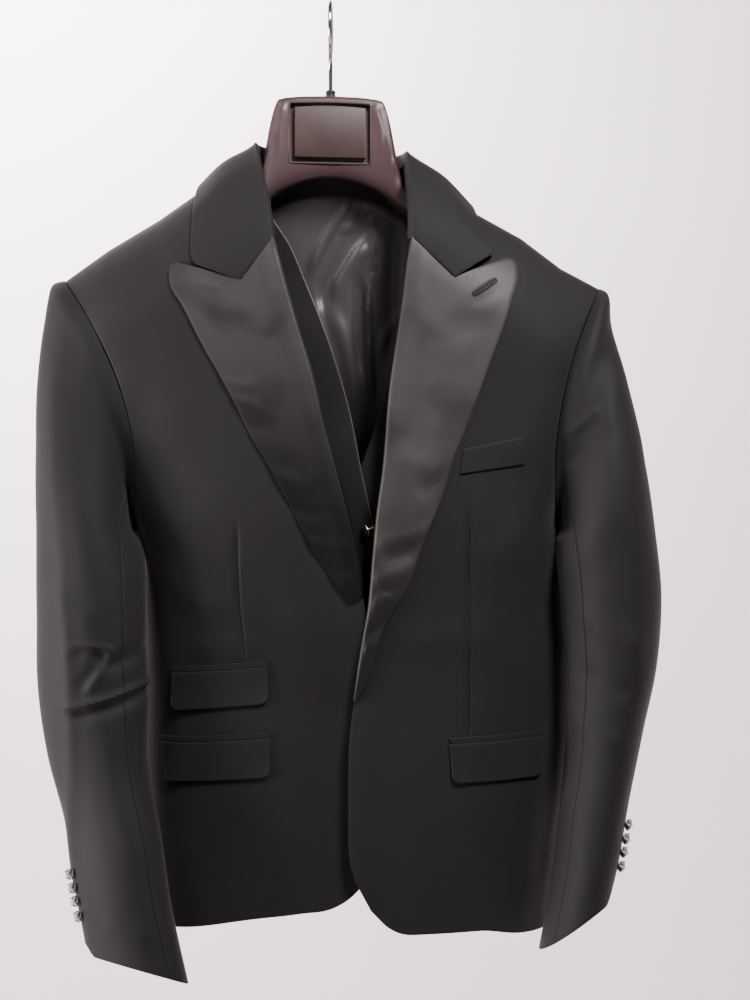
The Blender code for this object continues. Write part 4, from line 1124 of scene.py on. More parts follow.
def back_grid(side):
    """The outer face of half the jacket's back."""
    hem = RIGHT_FRONT_HEM if side == "right" else LEFT_FRONT_HEM
    end = hem[0][1] if side == "right" else hem[-1][1]
    centre = -SEAM / 2 if side == "right" else SEAM / 2
    rows = jacket_rows(BACK_NECK, BACK_HEM, side, end)
    grid = body_panel(
        jacket, 1, rows, lambda z: np.full_like(z, centre), outer_edge(side), back_top,
        lambda x: BACK_HEM + (end - BACK_HEM) * (x / BACK_HEM_HALF) ** 2,
    )
    return folded(grid, BACK, BACK_FOLDS, ("top", "side", "centre"))


def along(points, share):
    """The places at those shares of the length of a smooth line through points."""
    line = np.array(points, float)
    reach = reach_along(line)
    return smooth_path(reach, line)(np.asarray(share) * reach[-1])


LAPEL = {
    "right": (RIGHT_ROLL, RIGHT_LAPEL_EDGE, RIGHT_NOTCH, RIGHT_LAPEL_FOLDS, -1),
    "left": (LEFT_ROLL, LEFT_LAPEL_EDGE, LEFT_NOTCH, LEFT_LAPEL_FOLDS, 1),
}
TIP_CORNER = 7.0  # how round the lapel's tip is
ROLL_RADIUS = 3.4  # how round the satin turns at the lapel's roll
LAPEL_LIFT, LAPEL_BELLY = 3.0, 2.6  # face of a lapel off the front, and how much more it stands at the roll
BELLY_AT, BELLY_SPREAD = 12, 13  # from the roll
LAPEL_STEPS, LAPEL_FINE = 15, 6  # steps down a lapel, and rows in each
ROW_SPREAD = 1.15  # rows lie closer together at the gorge
NOTCH_STEPS = 6  # how many steps down the notch bends the rows
FACING = 9  # width of the satin that shows behind the roll
NARROW_ROLL, NARROW_LAPEL = 14, 30  # widths under which the roll and the belly grow less


def roll_part(start, way, turn, middle, half):
    """The places round the lapel's roll, from behind the front's edge to its face."""
    places = []
    for angle in np.radians(np.linspace(180, 0, 9)[:-1]):
        x, z = start + way * (turn * (1 - math.sin(angle)))
        places.append((x, middle + half * -math.cos(angle), z))
    return places


def lapel_grid(face, side):
    """A lapel, from behind the front's edge, round the roll and over the chest to its outer edge."""
    roll, edge, notch, folds, way = LAPEL[side]
    rows = np.linspace(0, LAPEL_STEPS, LAPEL_STEPS * LAPEL_FINE + 1)
    share = (rows / LAPEL_STEPS) ** ROW_SPREAD
    a, b = along(roll, share), along(edge, share)
    below_tip = np.linalg.norm(b - b[0], axis=1)
    corner = TIP_CORNER - np.sqrt(TIP_CORNER**2 - np.maximum(TIP_CORNER - below_tip, 0) ** 2)
    b = b + unit(a - b) * corner[:, None]
    notch_share = (notch[0] - roll[0][0]) / (edge[0][0] - roll[0][0])
    drop = notch[1] - (roll[0][1] + notch_share * (edge[0][1] - roll[0][1]))
    thickness = sizes().satin / MM
    shares = np.unique(np.concatenate([np.linspace(0, notch_share, 14), np.linspace(notch_share, 1, 14)]))
    lines = []
    for start, end, row in zip(a, b, rows):
        width = math.hypot(*(end - start))
        turn = ROLL_RADIUS * min(1.0, width / NARROW_ROLL)
        line = []
        for u in turn / width + shares * (1 - turn / width):
            x, z = start + (end - start) * u
            dip = u / notch_share if u < notch_share else (1 - u) / (1 - notch_share)
            z += drop * dip * max(0.0, 1 - row / NOTCH_STEPS)
            belly = math.exp(-(((u * width - BELLY_AT) / BELLY_SPREAD) ** 2)) * min(1.0, width / NARROW_LAPEL)
            line.append((x, on_front(face, side, x, z) - (LAPEL_LIFT + LAPEL_BELLY * belly), z))
        x, y, z = line[0]
        behind = on_front(face, side, x + way * 3, z) + CLOTH + SEAM + thickness
        across = unit(end - start)
        rolled = roll_part(start, across, turn, (y + behind) / 2, (behind - y) / 2)
        inside = start + across * (turn + FACING * min(1.0, width / NARROW_LAPEL))
        lines.append([(inside[0], behind, inside[1]), *rolled, *line])
    grid = np.array(lines)
    height = relief(grid[..., 0], grid[..., 2], folds)
    height = height * ease((np.linspace(0, 1, grid.shape[1]) - 0.2) / 0.2)
    return grid + height[..., None] * facing(face_normals(grid), FRONT)


def on_front(face, side, x, z):
    y = face.depth(x, z, -1)
    if y is None:
        y = float(jacket.depth(x, z, -1)) - (float(overlap(x, z)) if side == "left" else 0)
    return y


COLLAR_BACK_LIFT = 6.4  # outer face of the collar's fall off the jacket's back
COLLAR_TURN, COLLAR_BELLY = 2.6, 3.0  # how round the fold is, and how far the fall swells
COLLAR_CLEAR = 2.2  # least height of the whole fall above the jacket
COLLAR_FALL = 24  # the last column of the collar's stand and fold


def collar_grid(front, back):
    """The collar's outer face: up the stand, over the fold and down the fall."""

    def lifted(place, front_lift, back_lift):
        """The place, brought out to lie at least so far above the jacket's front or back."""
        x, y, z = place
        half, face, lift = (-1, front, front_lift) if y < 2 else (1, back, back_lift)
        on = face.depth(x, z, half)
        return place if on is None else np.array((x, half * max(half * y, half * on + lift), z))

    grid = []
    for i, row in enumerate(COLLAR):
        foot, fold, edge = np.array(row, float).reshape(3, 3)
        outward = unit(np.array((fold[0], fold[1] - 8, 0.0)))
        inner = fold - COLLAR_TURN * outward + (0, 0, -COLLAR_TURN)
        outer = fold + COLLAR_TURN * outward + (0, 0, -COLLAR_TURN)
        # the gorge seams are straight
        belly = COLLAR_BELLY * float(ease(min(i, len(COLLAR) - 1 - i) / 3))
        middle = (outer + edge) / 2 + belly * (outward + (0, 0, 1))
        fall = [lifted(place, COLLAR_LIFT, COLLAR_BACK_LIFT) for place in (middle, edge)]
        grid.append([foot - 1.5 * outward, inner, fold, outer, *fall])
    grid = smoother(smoother(np.array(grid), 6), 8, axis=1)
    for row in grid:
        for place in row[COLLAR_FALL + 1 :]:
            place[:] = lifted(place, COLLAR_CLEAR, COLLAR_CLEAR)
    return grid


SLEEVE_FINE = 8  # parts that each side of a sleeve is cut into
SLEEVE_ROWS = (6, 190)  # rows of a sleeve's head, and of the rest down to its cuff
ROPE = 1.8  # how far the sleeve's head stands above the shoulder seam
ROPE_DOWN, ROPE_SPREAD = 9, 8  # where that is, down the sleeve
SIDE_FILL = 4.6  # how far the sleeve's inner edge is pushed towards the body, in front of its side
SIDE_FILL_AT, SIDE_FILL_SPREAD = 165, 24  # degrees round the sleeve
SIDE_FILL_TOP, SIDE_FILL_FOOT = -486, -700
SLEEVE_TURN = {"right": 14.0, "left": 0.0}  # how far the sleeve's outer edge is turned back
CUFF_LIFT = 9.5  # how far the cuff's front is up, for it lies square to the forearm
CUFF_LIFT_SHARES = (1.0, 0.6, 0.2, 0)  # at the cuff and at the sections above it
CUFF_CORNER = 9.0  # the mitred corner at the cuff's vent


def sleeve_grid(side):
    """The sleeve all round, from the armhole to the cuff. The first column is its outer edge."""
    out = -1 if side == "right" else 1
    count = SLEEVE_SIDES * SLEEVE_FINE
    angle = np.arange(count) * 360 / count
    half = np.where(angle <= 180, -1, 1)
    x, z = armhole_point(side, np.minimum(angle, 360 - angle))
    y = np.where(half < 0, jacket.depth(x, z, -1), jacket.depth(x, z, 1))
    rings = [np.stack([x + out * SEAM, y, z], axis=-1)]
    across, turn = np.cos(np.radians(angle)), np.sin(np.radians(angle))
    last = len(SLEEVES[side]) - 1
    for i, row in enumerate(SLEEVES[side]):
        x = (row.outer_x + row.inner_x) / 2 + across * (row.outer_x - row.inner_x) / 2 + row.bow * turn**2
        z = (row.outer_z + row.inner_z) / 2 + across * (row.outer_z - row.inner_z) / 2
        z = z + CUFF_LIFT * turn * CUFF_LIFT_SHARES[min(last - i, 3)]
        if i == last:
            z = z + CUFF_CORNER * ease((across - 0.72) / 0.28)
        y = row.mid_y - row.half_depth * turn + SLEEVE_TURN[side] * min(i / 4, 1) * across
        rings.append(np.stack([x, y, z], axis=-1))
    rings = np.array(rings)
    middles = rings.mean(axis=1)
    places = reach_along(middles)
    head_rows, arm_rows = SLEEVE_ROWS
    fine = np.unique(np.concatenate([
        np.linspace(0, places[1], head_rows), np.linspace(places[1], places[-1], arm_rows),
    ]))
    grid = smooth_path(places, rings)(fine)
    near_body = np.exp(-(((angle - SIDE_FILL_AT) / SIDE_FILL_SPREAD) ** 2))[None, :]
    level = grid[..., 2]
    fill = out * SIDE_FILL * near_body * ease((SIDE_FILL_TOP - level) / 14)
    grid[..., 0] -= fill * ease((level - SIDE_FILL_FOOT) / 60)
    normals = outward_normals(grid)
    on_face = ease(turn * 3 + 0.3)[None, :]
    folds = RIGHT_SLEEVE_FOLDS if side == "right" else LEFT_SLEEVE_FOLDS
    height = relief(grid[..., 0], grid[..., 2], folds) * on_face
    height += relief(grid[..., 0], grid[..., 2], SLEEVE_BACK_FOLDS) * (1 - on_face)
    height += unevenness(grid[..., 1] + grid[..., 0] * 0.4, grid[..., 2], 0.7)
    down = fine[:, None] - fine[0]
    head = np.exp(-(((down - ROPE_DOWN) / ROPE_SPREAD) ** 2)) * ease(across * 1.4 + 0.5)[None, :]
    height = height * ease(down / 25) + ROPE * head
    grid = grid + height[..., None] * normals
    return grid, outward_normals(grid)


def pocket_grid(face, row, lift, top_drop, foot_drop, corner=0.0, curl=0.0):
    """A flap, jet or welt on the front, from top_drop to foot_drop below the pocket's top line."""
    across = finer(POCKET_COLUMNS, 4)
    down = np.unique(np.concatenate([np.linspace(0, 0.85, 9), np.linspace(0.85, 1, 5)]))
    grid = []
    for v in down:
        line = []
        for u in across:
            top = row.inner_top + u * (row.outer_top - row.inner_top) - top_drop
            foot = row.inner_foot + u * (row.outer_foot - row.inner_foot)
            if foot_drop is not None:
                foot = top - (foot_drop - top_drop)
            x = row.inner_x + u * (row.outer_x - row.inner_x) + row.lean * v * (1 - u)
            wide = abs(row.outer_x - row.inner_x)
            beside = min(u, 1 - u) * wide
            inset = corner - math.sqrt(max(corner**2 - (corner - beside) ** 2, 0)) if beside < corner else 0.0
            z = top + v * (foot + inset - top)
            line.append((x, 0.0, z))
        grid.append(line)
    grid = laid(face, grid, lift)
    grid[..., 1] -= curl * (down[:, None] ** 3) * (0.4 + np.abs(2 * across - 1)[None, :] ** 3)
    return grid


def waistcoat_rows(edge_top, edge_foot, hem_z):
    under, shoulder = WAISTCOAT_ARMHOLE[-1][0], WAISTCOAT_ARMHOLE[0][0]
    levels = [shoulder + share * (under - shoulder) for share in SHOULDER_ROWS]
    return panel_rows((edge_top, edge_foot), SHOULDER_SHARE, SHOULDER_ROWS, levels, hem_z)


def waistcoat_outer(sign):
    """x of the waistcoat's armhole and, below it, of its side seam."""
    arm_x = smooth_curve(WAISTCOAT_ARMHOLE)
    under, shoulder = WAISTCOAT_ARMHOLE[-1][0], WAISTCOAT_ARMHOLE[0][0]

    def value(z):
        full = sign * waistcoat.width(under, sign)
        above = full * arm_x(np.clip(z, under, shoulder)) / arm_x(under)
        return np.where(z < under, sign * waistcoat.width(z, sign), above)

    return value


def waistcoat_front_grid(side):
    sign, edge, hem = {
        "right": (-1, WAISTCOAT_RIGHT_EDGE, WAISTCOAT_RIGHT_HEM),
        "left": (1, WAISTCOAT_LEFT_EDGE, WAISTCOAT_LEFT_HEM),
    }[side]
    lap = OVERLAP if side == "right" else 0.0
    rows = waistcoat_rows(edge[0][0], edge[-1][0], WAISTCOAT_SIDE_HEM)
    grid = body_panel(
        waistcoat, -1, rows, smooth_curve(edge), waistcoat_outer(sign), waistcoat_ridge, smooth_curve(hem),
        lambda x, z: lap * ease((x - WAISTCOAT_LAP_FROM) / 50) * ease((WAISTCOAT_LAP_TOP - z) / 50),
    )
    return folded(grid, FRONT, [], waviness=0.4)


def waistcoat_back_top(x):
    rise = waistcoat_ridge(np.copysign(NECK_SIDE, x)) - WAISTCOAT_NECK
    return np.where(np.abs(x) >= NECK_SIDE, waistcoat_ridge(x), WAISTCOAT_NECK + rise * (x / NECK_SIDE) ** 2)


def waistcoat_back_grid():
    rows = waistcoat_rows(WAISTCOAT_NECK, WAISTCOAT_BACK_HEM, WAISTCOAT_BACK_HEM)
    halves = [
        body_panel(
            waistcoat, 1, rows, np.zeros_like, waistcoat_outer(sign), waistcoat_back_top,
            lambda x: np.full_like(x, WAISTCOAT_BACK_HEM, float),
        )
        for sign in (-1, 1)
    ]
    grid = np.concatenate([halves[0][:, ::-1], halves[1][:, 1:]], axis=1)
    x, y, z = np.moveaxis(grid, -1, 0)
    height = relief(x, z, LINING_FOLDS) + unevenness(x * 1.6, z, 0.5)
    below_arch = ease((arm_sizes["bottom"](np.abs(x)) - 2 - z) / 14)
    rim = ease((140 - np.abs(x)) / 20)
    clear = np.where(np.abs(x) < LINING_CLEAR_HALF, np.maximum(y, LINING_CLEAR), y)
    grid[..., 1] = clear - np.maximum(height, LINING_DEEPEST) * below_arch * rim
    return grid


# The hanger's front: raised lines on each side as (x, z), the label's recess and its plate
HANGER_RIDGE = [(42.5, -92), (44.0, -104), (48.0, -119), (55.0, -139), (63.5, -158), (76.0, -176)]
RECESS = (37.5, -94.5, -149.5, 7.2)  # half width, top, foot and the depth of its floor
PLATE = (33.0, -97.9, -144.4, 11.6)  # the same, but how far its face is proud
LIP_Y, LIP_RADIUS = -11.4, 0.9  # the bead round the recess
RIDGE_HEIGHT, RIDGE_SPREAD = 1.5, 2.0
GROOVE_BESIDE, GROOVE_SPREAD = 7, 4.0  # the shallow groove outside each raised line


def hanger_form():
    """Points and faces of the moulded body, with a raised line down each side of its front and back."""
    near = np.arange(-85, 85.1, 1.25)
    beyond = np.concatenate([np.arange(89, 213, 4.0), [214.5, 216, 217]])
    stations = np.concatenate([-beyond[::-1], near, beyond])
    sides = 64
    angle = np.arange(sides) * math.tau / sides
    up, across = np.cos(angle), np.sin(angle)
    x = stations[:, None]
    reach = x * np.tanh(x / 4)
    top, bottom, half, square = (arm_sizes[name](reach) for name in Arm._fields[1:])
    z = (top + bottom) / 2 + (top - bottom) / 2 * np.sign(up) * np.abs(up) ** (2 / square)
    y = half * np.sign(across) * np.abs(across) ** (2 / square)
    wide = np.broadcast_to(np.abs(x), z.shape)
    raised = np.zeros_like(z)
    for (x0, z0), (x1, z1) in zip(HANGER_RIDGE, HANGER_RIDGE[1:]):
        at = x0 + (x1 - x0) * (z - z0) / (z1 - z0)
        line = RIDGE_HEIGHT * np.exp(-(((wide - at) / RIDGE_SPREAD) ** 2))
        line -= RIDGE_HEIGHT * np.exp(-(((wide - at - GROOVE_BESIDE) / GROOVE_SPREAD) ** 2))
        raised = np.where((z <= z0) & (z > z1), line, raised)
    ends = ease((HANGER_RIDGE[0][1] - z) / 8) * ease((z - HANGER_RIDGE[-1][1]) / 8)
    y = y + np.sign(y) * raised * ends * ease(np.abs(across) * 2 - 0.6)
    points = np.stack([np.broadcast_to(x, z.shape), y, z - x * math.tan(HANGER_TILT)], axis=-1)
    return points.reshape(-1, 3), capped_faces(sides, len(stations))


def rounded_plate(half_width, top, foot, corner, arch):
    """(x, z) round a plate with round corners and a slightly arched top."""
    middle, half = (top + foot) / 2, (top - foot) / 2
    places = []
    for cx, cz, start in ((1, 1, 90), (1, -1, 0), (-1, -1, -90), (-1, 1, -180)):
        for step in range(7):
            turn = math.radians(start - 15 * step)
            x = cx * (half_width - corner) + corner * math.cos(turn)
            z = middle + cz * (half - corner) + corner * math.sin(turn)
            places.append((x, z))
        if cz == 1 and cx == -1:
            for share in np.linspace(-0.8, 0.8, 9):
                places.append((share * (half_width - corner), top + arch * (1 - share**2)))
    return places


def slab(outline, front_y, back_y, ease_in):
    """Points and faces of a plate with an eased front edge; the outline is (x, z) in order."""
    middle = np.mean(outline, axis=0)
    levels = (
        (back_y, 0), (front_y + ease_in, 0), (front_y + ease_in * 0.3, ease_in * 0.3), (front_y, ease_in),
    )
    points = []
    for y, inset in levels:
        for x, z in outline:
            out = unit(np.array((x - middle[0], z - middle[1])))
            x2, z2 = x - inset * np.sign(out[0]) * min(abs(out[0]) * 2, 1), z - inset * np.sign(out[1])
            points.append((x2, y, z2 - x2 * math.tan(HANGER_TILT)))
    return points, capped_faces(len(outline), len(levels))


def cut_away(piece, points, faces):
    """Takes a closed form out of a piece."""
    cutter = linked("cutter", mesh_of("cutter", points, faces))
    modifier = piece.modifiers.new("recess", "BOOLEAN")
    modifier.object = cutter
    modifier.operation = "DIFFERENCE"
    modifier.solver = "EXACT"
    bpy.context.view_layer.update()
    made = bpy.data.meshes.new_from_object(piece.evaluated_get(bpy.context.evaluated_depsgraph_get()))
    piece.modifiers.remove(modifier)
    piece.data = made
    made.set_sharp_from_angle(angle=math.radians(35))
    bpy.data.objects.remove(cutter)


class SUIT_OT_hanger(bpy.types.Operator):
    """Builds the moulded hanger with its bare label plate and trouser bar"""

    bl_idname = "suit.hanger"
    bl_label = "Hanger"

    def execute(self, context):
        points, faces = hanger_form()
        body = new_object("moulded_hanger", points, faces, "hanger_polystyrene", "hanger_plastic", sharp=60)
        half_width, top, foot, floor = RECESS
        cut_away(body, *slab(rounded_plate(half_width, top, foot, 1.5, 1.0), -30, -floor, 0.1))
        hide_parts("hanger_body")
        bead = rounded_plate(half_width + 0.4, top + 0.4, foot - 0.4, 2, 1)
        lip = [(x, LIP_Y, z - x * math.tan(HANGER_TILT)) for x, z in bead]
        tube("recess_lip", lip, LIP_RADIUS, "hanger_polystyrene", cyclic=True, resolution=3)
        half_width, top, foot, proud = PLATE
        plate = slab(rounded_plate(half_width, top, foot, 1.2, 1.6), -proud, -floor, 0.6)
        piece = new_object("bare_label_plate", *plate, "plate_polystyrene", "hanger_plastic", sharp=30)
        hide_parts("label_plate")
        side = [(BAR_END, 29.4, BAR_Z + 8), (BAR_END, BAR_Y - 3, BAR_Z + 4), (BAR_END - 4, BAR_Y, BAR_Z)]
        bend = smoother(np.array(side + [(BAR_END - 14, BAR_Y, BAR_Z)]), 6).tolist()
        bar = [(-x, y, z) for x, y, z in bend] + [(x, y, z) for x, y, z in reversed(bend)]
        piece = tube("bar_for_trousers", bar, BAR_RADIUS, "plated_steel")
        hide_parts("trouser_bar")
        return {"FINISHED"}


HOOK_NECK = [(0, -8.6, -47.0), (0, -4.2, -51.5), (0, -1.2, -56.8), (0, 0, -63.0), (0, 0, -71.0)]


class SUIT_OT_hook(bpy.types.Operator):
    """Builds the wire hook and the nut that holds it"""

    bl_idname = "suit.hook"
    bl_label = "Hook"

    def execute(self, context):
        centre = HOOK_WIRE - HOOK_LOOP
        loop = [math.radians(a) for a in range(-50, 236, 4)]
        points = [(0, HOOK_LOOP * math.cos(a), centre + HOOK_LOOP * math.sin(a)) for a in loop]
        points += smoother([points[-1], *HOOK_NECK], 5)[1:].tolist() + [(0, 0, SHANK_FOOT - 2)]
        wire = tube("wire_hook", points, HOOK_WIRE, "plated_steel", resolution=8)
        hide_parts("hook")
        radius, height = NUT_RADIUS, NUT_HEIGHT
        foot = SHANK_FOOT - SEAM - height
        profile = [(0.5, 0), (radius, 0), (radius, 1.2), (radius * 0.86, 1.6), (radius * 0.86, 2.2)]
        profile += [(radius, 2.6), (radius, height - 0.9), (radius * 0.8, height), (0.5, height)]
        nut = new_object("hook_collar", *lathe(profile, (0, 0, foot), UP), "blackened_steel", "chrome")
        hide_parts("hook_nut")
        return {"FINISHED"}


class SUIT_OT_jacket_body(bpy.types.Operator):
    """Builds the jacket's fronts, with their darts and soft folds, and the two halves of its back"""

    bl_idname = "suit.jacket_body"
    bl_label = "Jacket fronts and back"

    def execute(self, context):
        for side in ("right", "left"):
            grid = front_grid(side)
            piece = cloth(f"{side}_front", grid, FRONT, "jacket_worsted", "jacket_wool")
            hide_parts(f"jacket_front_{side}")
            grid = back_grid(side)
            piece = cloth(f"{side}_back", grid, BACK, "jacket_worsted", "jacket_wool")
            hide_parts(f"jacket_back_{side}")
        return {"FINISHED"}


class SUIT_OT_lapels(bpy.types.Operator):
    """Builds the satin lapels, rolled back over the fronts, and the left lapel's buttonhole"""

    bl_idname = "suit.lapels"
    bl_label = "Lapels"

    def execute(self, context):
        for side in ("right", "left"):
            grid = lapel_grid(Face(front_grid(side)), side)
            thickness = sizes().satin / MM
            piece = cloth(f"{side}_lapel", grid, FRONT, f"{side}_lapel_satin", "lapel_satin", thickness)
            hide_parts(f"lapel_{side}")
            if side == "left":
                make_buttonhole(Face(grid[:, 9:]))
        return {"FINISHED"}


BUTTONHOLE = ((129, -278), (151, -263))  # its ends
STITCH_STEP, STITCH_WIDE, STITCH_RADIUS, STITCH_LIFT = 0.5, 3.1, 0.36, 0.45


def make_buttonhole(face):
    """A worked buttonhole: a close row of stitches along each side of the slit, and round its ends."""
    start, end = np.array(BUTTONHOLE, float)
    length = float(np.linalg.norm(end - start))
    way = (end - start) / length
    across = np.array((-way[1], way[0]))
    forms = []
    for t in np.arange(0, length, STITCH_STEP):
        near_end = max(abs(2 * t / length - 1) * 1.06 - 0.06, 0.0)
        wide = STITCH_WIDE * math.sin(math.acos(near_end)) ** 0.35 + 0.2
        for sign in (-1, 1):
            ends = []
            for off in (0.0, wide):
                x, z = start + way * t + across * sign * off
                y = face.depth(x, z, -1)
                ends.append(None if y is None else (x, y - STITCH_LIFT, z))
            if None not in ends:
                forms.append(stitch(*ends, STITCH_RADIUS))
    new_object("worked_buttonhole", *joined(*forms), "cotton_thread", "lapel_satin")


def stitch(a, b, radius):
    """Points and faces of one stitch: a short thread that is thickest at its middle."""
    a, b = np.array(a, float), np.array(b, float)
    axis = b - a
    length = float(np.linalg.norm(axis))
    profile = [(radius * 0.35, 0), (radius * 0.9, length * 0.25), (radius, length * 0.5)]
    profile += [(radius * 0.9, length * 0.75), (radius * 0.35, length)]
    return lathe(profile, a, axis, 6)


class SUIT_OT_collar(bpy.types.Operator):
    """Builds the collar, from one lapel round the neck to the other"""

    bl_idname = "suit.collar"
    bl_label = "Collar"

    def execute(self, context):
        fronts = Face(front_grid("right"), front_grid("left"))
        backs = Face(back_grid("right"), back_grid("left"))
        grid = collar_grid(fronts, backs)
        thickness = sizes().satin / MM
        piece = cloth("collar_band", grid, UP, "jacket_worsted", "jacket_wool", thickness)
        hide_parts("collar")
        return {"FINISHED"}


class SUIT_OT_sleeves(bpy.types.Operator):
    """Builds the upper and under sleeves, with their folds at the elbow"""

    bl_idname = "suit.sleeves"
    bl_label = "Sleeves"

    def execute(self, context):
        for side in ("right", "left"):
            grid, normals = sleeve_grid(side)
            count = grid.shape[1]
            front, back = FRONT_SEAM * SLEEVE_FINE, BACK_SEAM * SLEEVE_FINE
            columns = {
                "upper": [i % count for i in range(back, front + count + 1)],
                "under": list(range(front, back + 1)),
            }
            for name, chosen in columns.items():
                part = grid[:, chosen].copy()
                for edge, beside in ((0, 1), (-1, -2)):
                    part[:, edge] += unit(part[:, beside] - part[:, edge]) * SEAM / 6
                out = normals[:, chosen]
                piece = cloth(
                    f"{side}_{name}_sleeve", part, FRONT, "jacket_worsted", "jacket_wool", normals=out
                )
                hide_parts(f"{name}_sleeve_{side}")
        return {"FINISHED"}


CUFF_BUTTON_PLACE = 24  # degrees round the cuff, from its outer edge to the front
CUFF_BUTTON_TILT = np.array((0.0, -0.7, 0.1))  # how the plated buttons have tipped on their threads


def cuff_button_forms(foot, out):
    """A turned disc on a short shank, and the raised cross on its face."""
    radius, height = CUFF_BUTTON
    profile = [(1.3, -1.0), (1.1, height * 0.35), (radius * 0.95, height * 0.45)]
    profile += [(radius * 1.05, height * 0.6), (radius * 0.95, height * 0.72), (0.4, height * 0.76)]
    one = unit(np.cross(out, np.array((0.6, 0.0, 0.8))))
    middle = foot + out * height * 0.84
    reach = radius * 1.12
    bars = [stitch(middle - way * reach, middle + way * reach, 1.6) for way in (one, np.cross(out, one))]
    return lathe(profile, foot, out), joined(*bars)


class SUIT_OT_cuff_buttons(bpy.types.Operator):
    """Builds the plated cuff buttons, each with a raised cross"""

    bl_idname = "suit.cuff_buttons"
    bl_label = "Cuff buttons"

    def execute(self, context):
        for side, levels in CUFF_BUTTONS.items():
            grid, normals = sleeve_grid(side)
            column = round(grid.shape[1] * CUFF_BUTTON_PLACE / 360)
            line, out_line = grid[:, column], normals[:, column]
            for i, z in enumerate(levels):
                low = int(np.argmin(np.abs(line[:, 2] - z)))
                foot = line[low] + out_line[low] * 0.3
                disc, cross = cuff_button_forms(foot, unit(out_line[low] + CUFF_BUTTON_TILT))
                name = f"{side}_cuff_button"
                # The disc is drawn in chrome darkened to near black: painted reflection, for the plated
                # button mirrors dark surroundings round its bright cross.
                piece = new_object(f"{name}_{i + 1}", *disc, "blackened_steel", "chrome", sharp=30)
                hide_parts(f"cuff_button_{side}_{i + 1}")
                new_object(f"{name}_cross_{i + 1}", *cross, "brushed_steel", "chrome", sharp=30)
        return {"FINISHED"}


class SUIT_OT_pockets(bpy.types.Operator):
    """Builds the pockets' jets and flaps and the breast pocket's welt"""

    bl_idname = "suit.pockets"
    bl_label = "Pockets"

    def execute(self, context):
        face = Face(front_grid("right"), front_grid("left"))
        for row in POCKETS:
            grid = pocket_grid(face, row, POCKET_LIFT, 0, JET)
            piece = cloth(f"{row.name}_jet", grid, FRONT, "jacket_worsted", "jacket_wool", JET_CLOTH)
            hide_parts(f"pocket_jet_{row.name}")
            grid = pocket_grid(face, row, FLAP_LIFT, JET + SEAM, None, FLAP_CORNER, FLAP_CURL)
            piece = cloth(f"{row.name}_flap", grid, FRONT, "jacket_worsted", "jacket_wool", FLAP_CLOTH)
            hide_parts(f"pocket_flap_{row.name}")
        grid = pocket_grid(face, BREAST_WELT, POCKET_LIFT, 0, None)
        piece = cloth("breast_pocket_welt", grid, FRONT, "jacket_worsted", "jacket_wool", WELT_CLOTH)
        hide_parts("breast_welt")
        return {"FINISHED"}


def make_piping(side, grid):
    """The corded edge of a waistcoat front, from its shoulder down to its hem."""
    normals = facing(face_normals(grid), FRONT)
    line = grid[2:-2, 0] - normals[2:-2, 0] * 0.5
    # The same cord runs down both fronts: the right one is drawn in pale satin as a painted highlight, the
    # left one in the darkened waistcoat wool as painted shade.
    kind = "edge_satin" if side == "right" else "waistcoat_worsted"
    tube(f"{side}_corded_edge", line.tolist(), 0.55, kind, resolution=3)


class SUIT_OT_waistcoat(bpy.types.Operator):
    """Builds the waistcoat's fronts and its creased satin back"""

    bl_idname = "suit.waistcoat"
    bl_label = "Waistcoat"

    def execute(self, context):
        for side in ("right", "left"):
            grid = waistcoat_front_grid(side)
            piece = cloth(f"{side}_waistcoat_front", grid, FRONT, "waistcoat_worsted", "waistcoat_wool")
            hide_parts(f"waistcoat_front_{side}")
            make_piping(side, grid)
        grid = waistcoat_back_grid()
        piece = cloth("waistcoat_lining_back", grid, BACK, "lining_satin_cloth", "lining_satin", LINING_CLOTH)
        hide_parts("waistcoat_back")
        return {"FINISHED"}


GOLD_SHANK = [(1.5, -6.0), (1.5, -5.2), (0.9, -4.6)]  # of the top button, which has turned edge-on
TURNED_AXIS = np.array((-0.87, -0.3, -0.38))


class SUIT_OT_waistcoat_buttons(bpy.types.Operator):
    """Builds the waistcoat's gilt shank buttons"""

    bl_idname = "suit.waistcoat_buttons"
    bl_label = "Waistcoat buttons"

    def execute(self, context):
        face = Face(waistcoat_front_grid("right"))
        radius, height = GOLD_BUTTON
        face_down = [(0.9, height * 0.3), (radius * 0.8, height * 0.45), (radius, height * 0.55)]
        rim = [(radius, height * 0.7), (radius * 0.86, height * 0.9)]
        dished = [(radius * 0.7, height * 0.8), (radius * 0.4, height), (0.3, height)]
        for i, (x, z) in enumerate(WAISTCOAT_BUTTONS):
            y = face.depth(x, z, -1) - height / 2 - SEAM
            axis, profile = np.array(FRONT, float), face_down + rim + dished
            if i == 0:
                axis, profile = unit(TURNED_AXIS), GOLD_SHANK + profile
                y -= radius * 0.68
            form = lathe(profile, np.array((x, y, z)) - axis * height / 2, axis)
            piece = new_object(f"gilt_button_{i + 1}", *form, "gilt_brass", "gold_metal", sharp=30)
            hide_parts(f"waistcoat_button_{i + 1}")
        return {"FINISHED"}


TROUSER_ROLL = 1.4  # how round the trousers' edges are
TROUSER_TURN = BAR_RADIUS + SEAM + TROUSER_WALL  # radius of their outer face over the bar
TROUSER_HALF = TROUSER_WIDTH / 2
TROUSER_COLUMNS = np.concatenate([
    [-TROUSER_HALF, -TROUSER_HALF + 1.5], np.linspace(-TROUSER_HALF + 4, TROUSER_HALF - 4, 38),
    [TROUSER_HALF - 1.5, TROUSER_HALF],
])


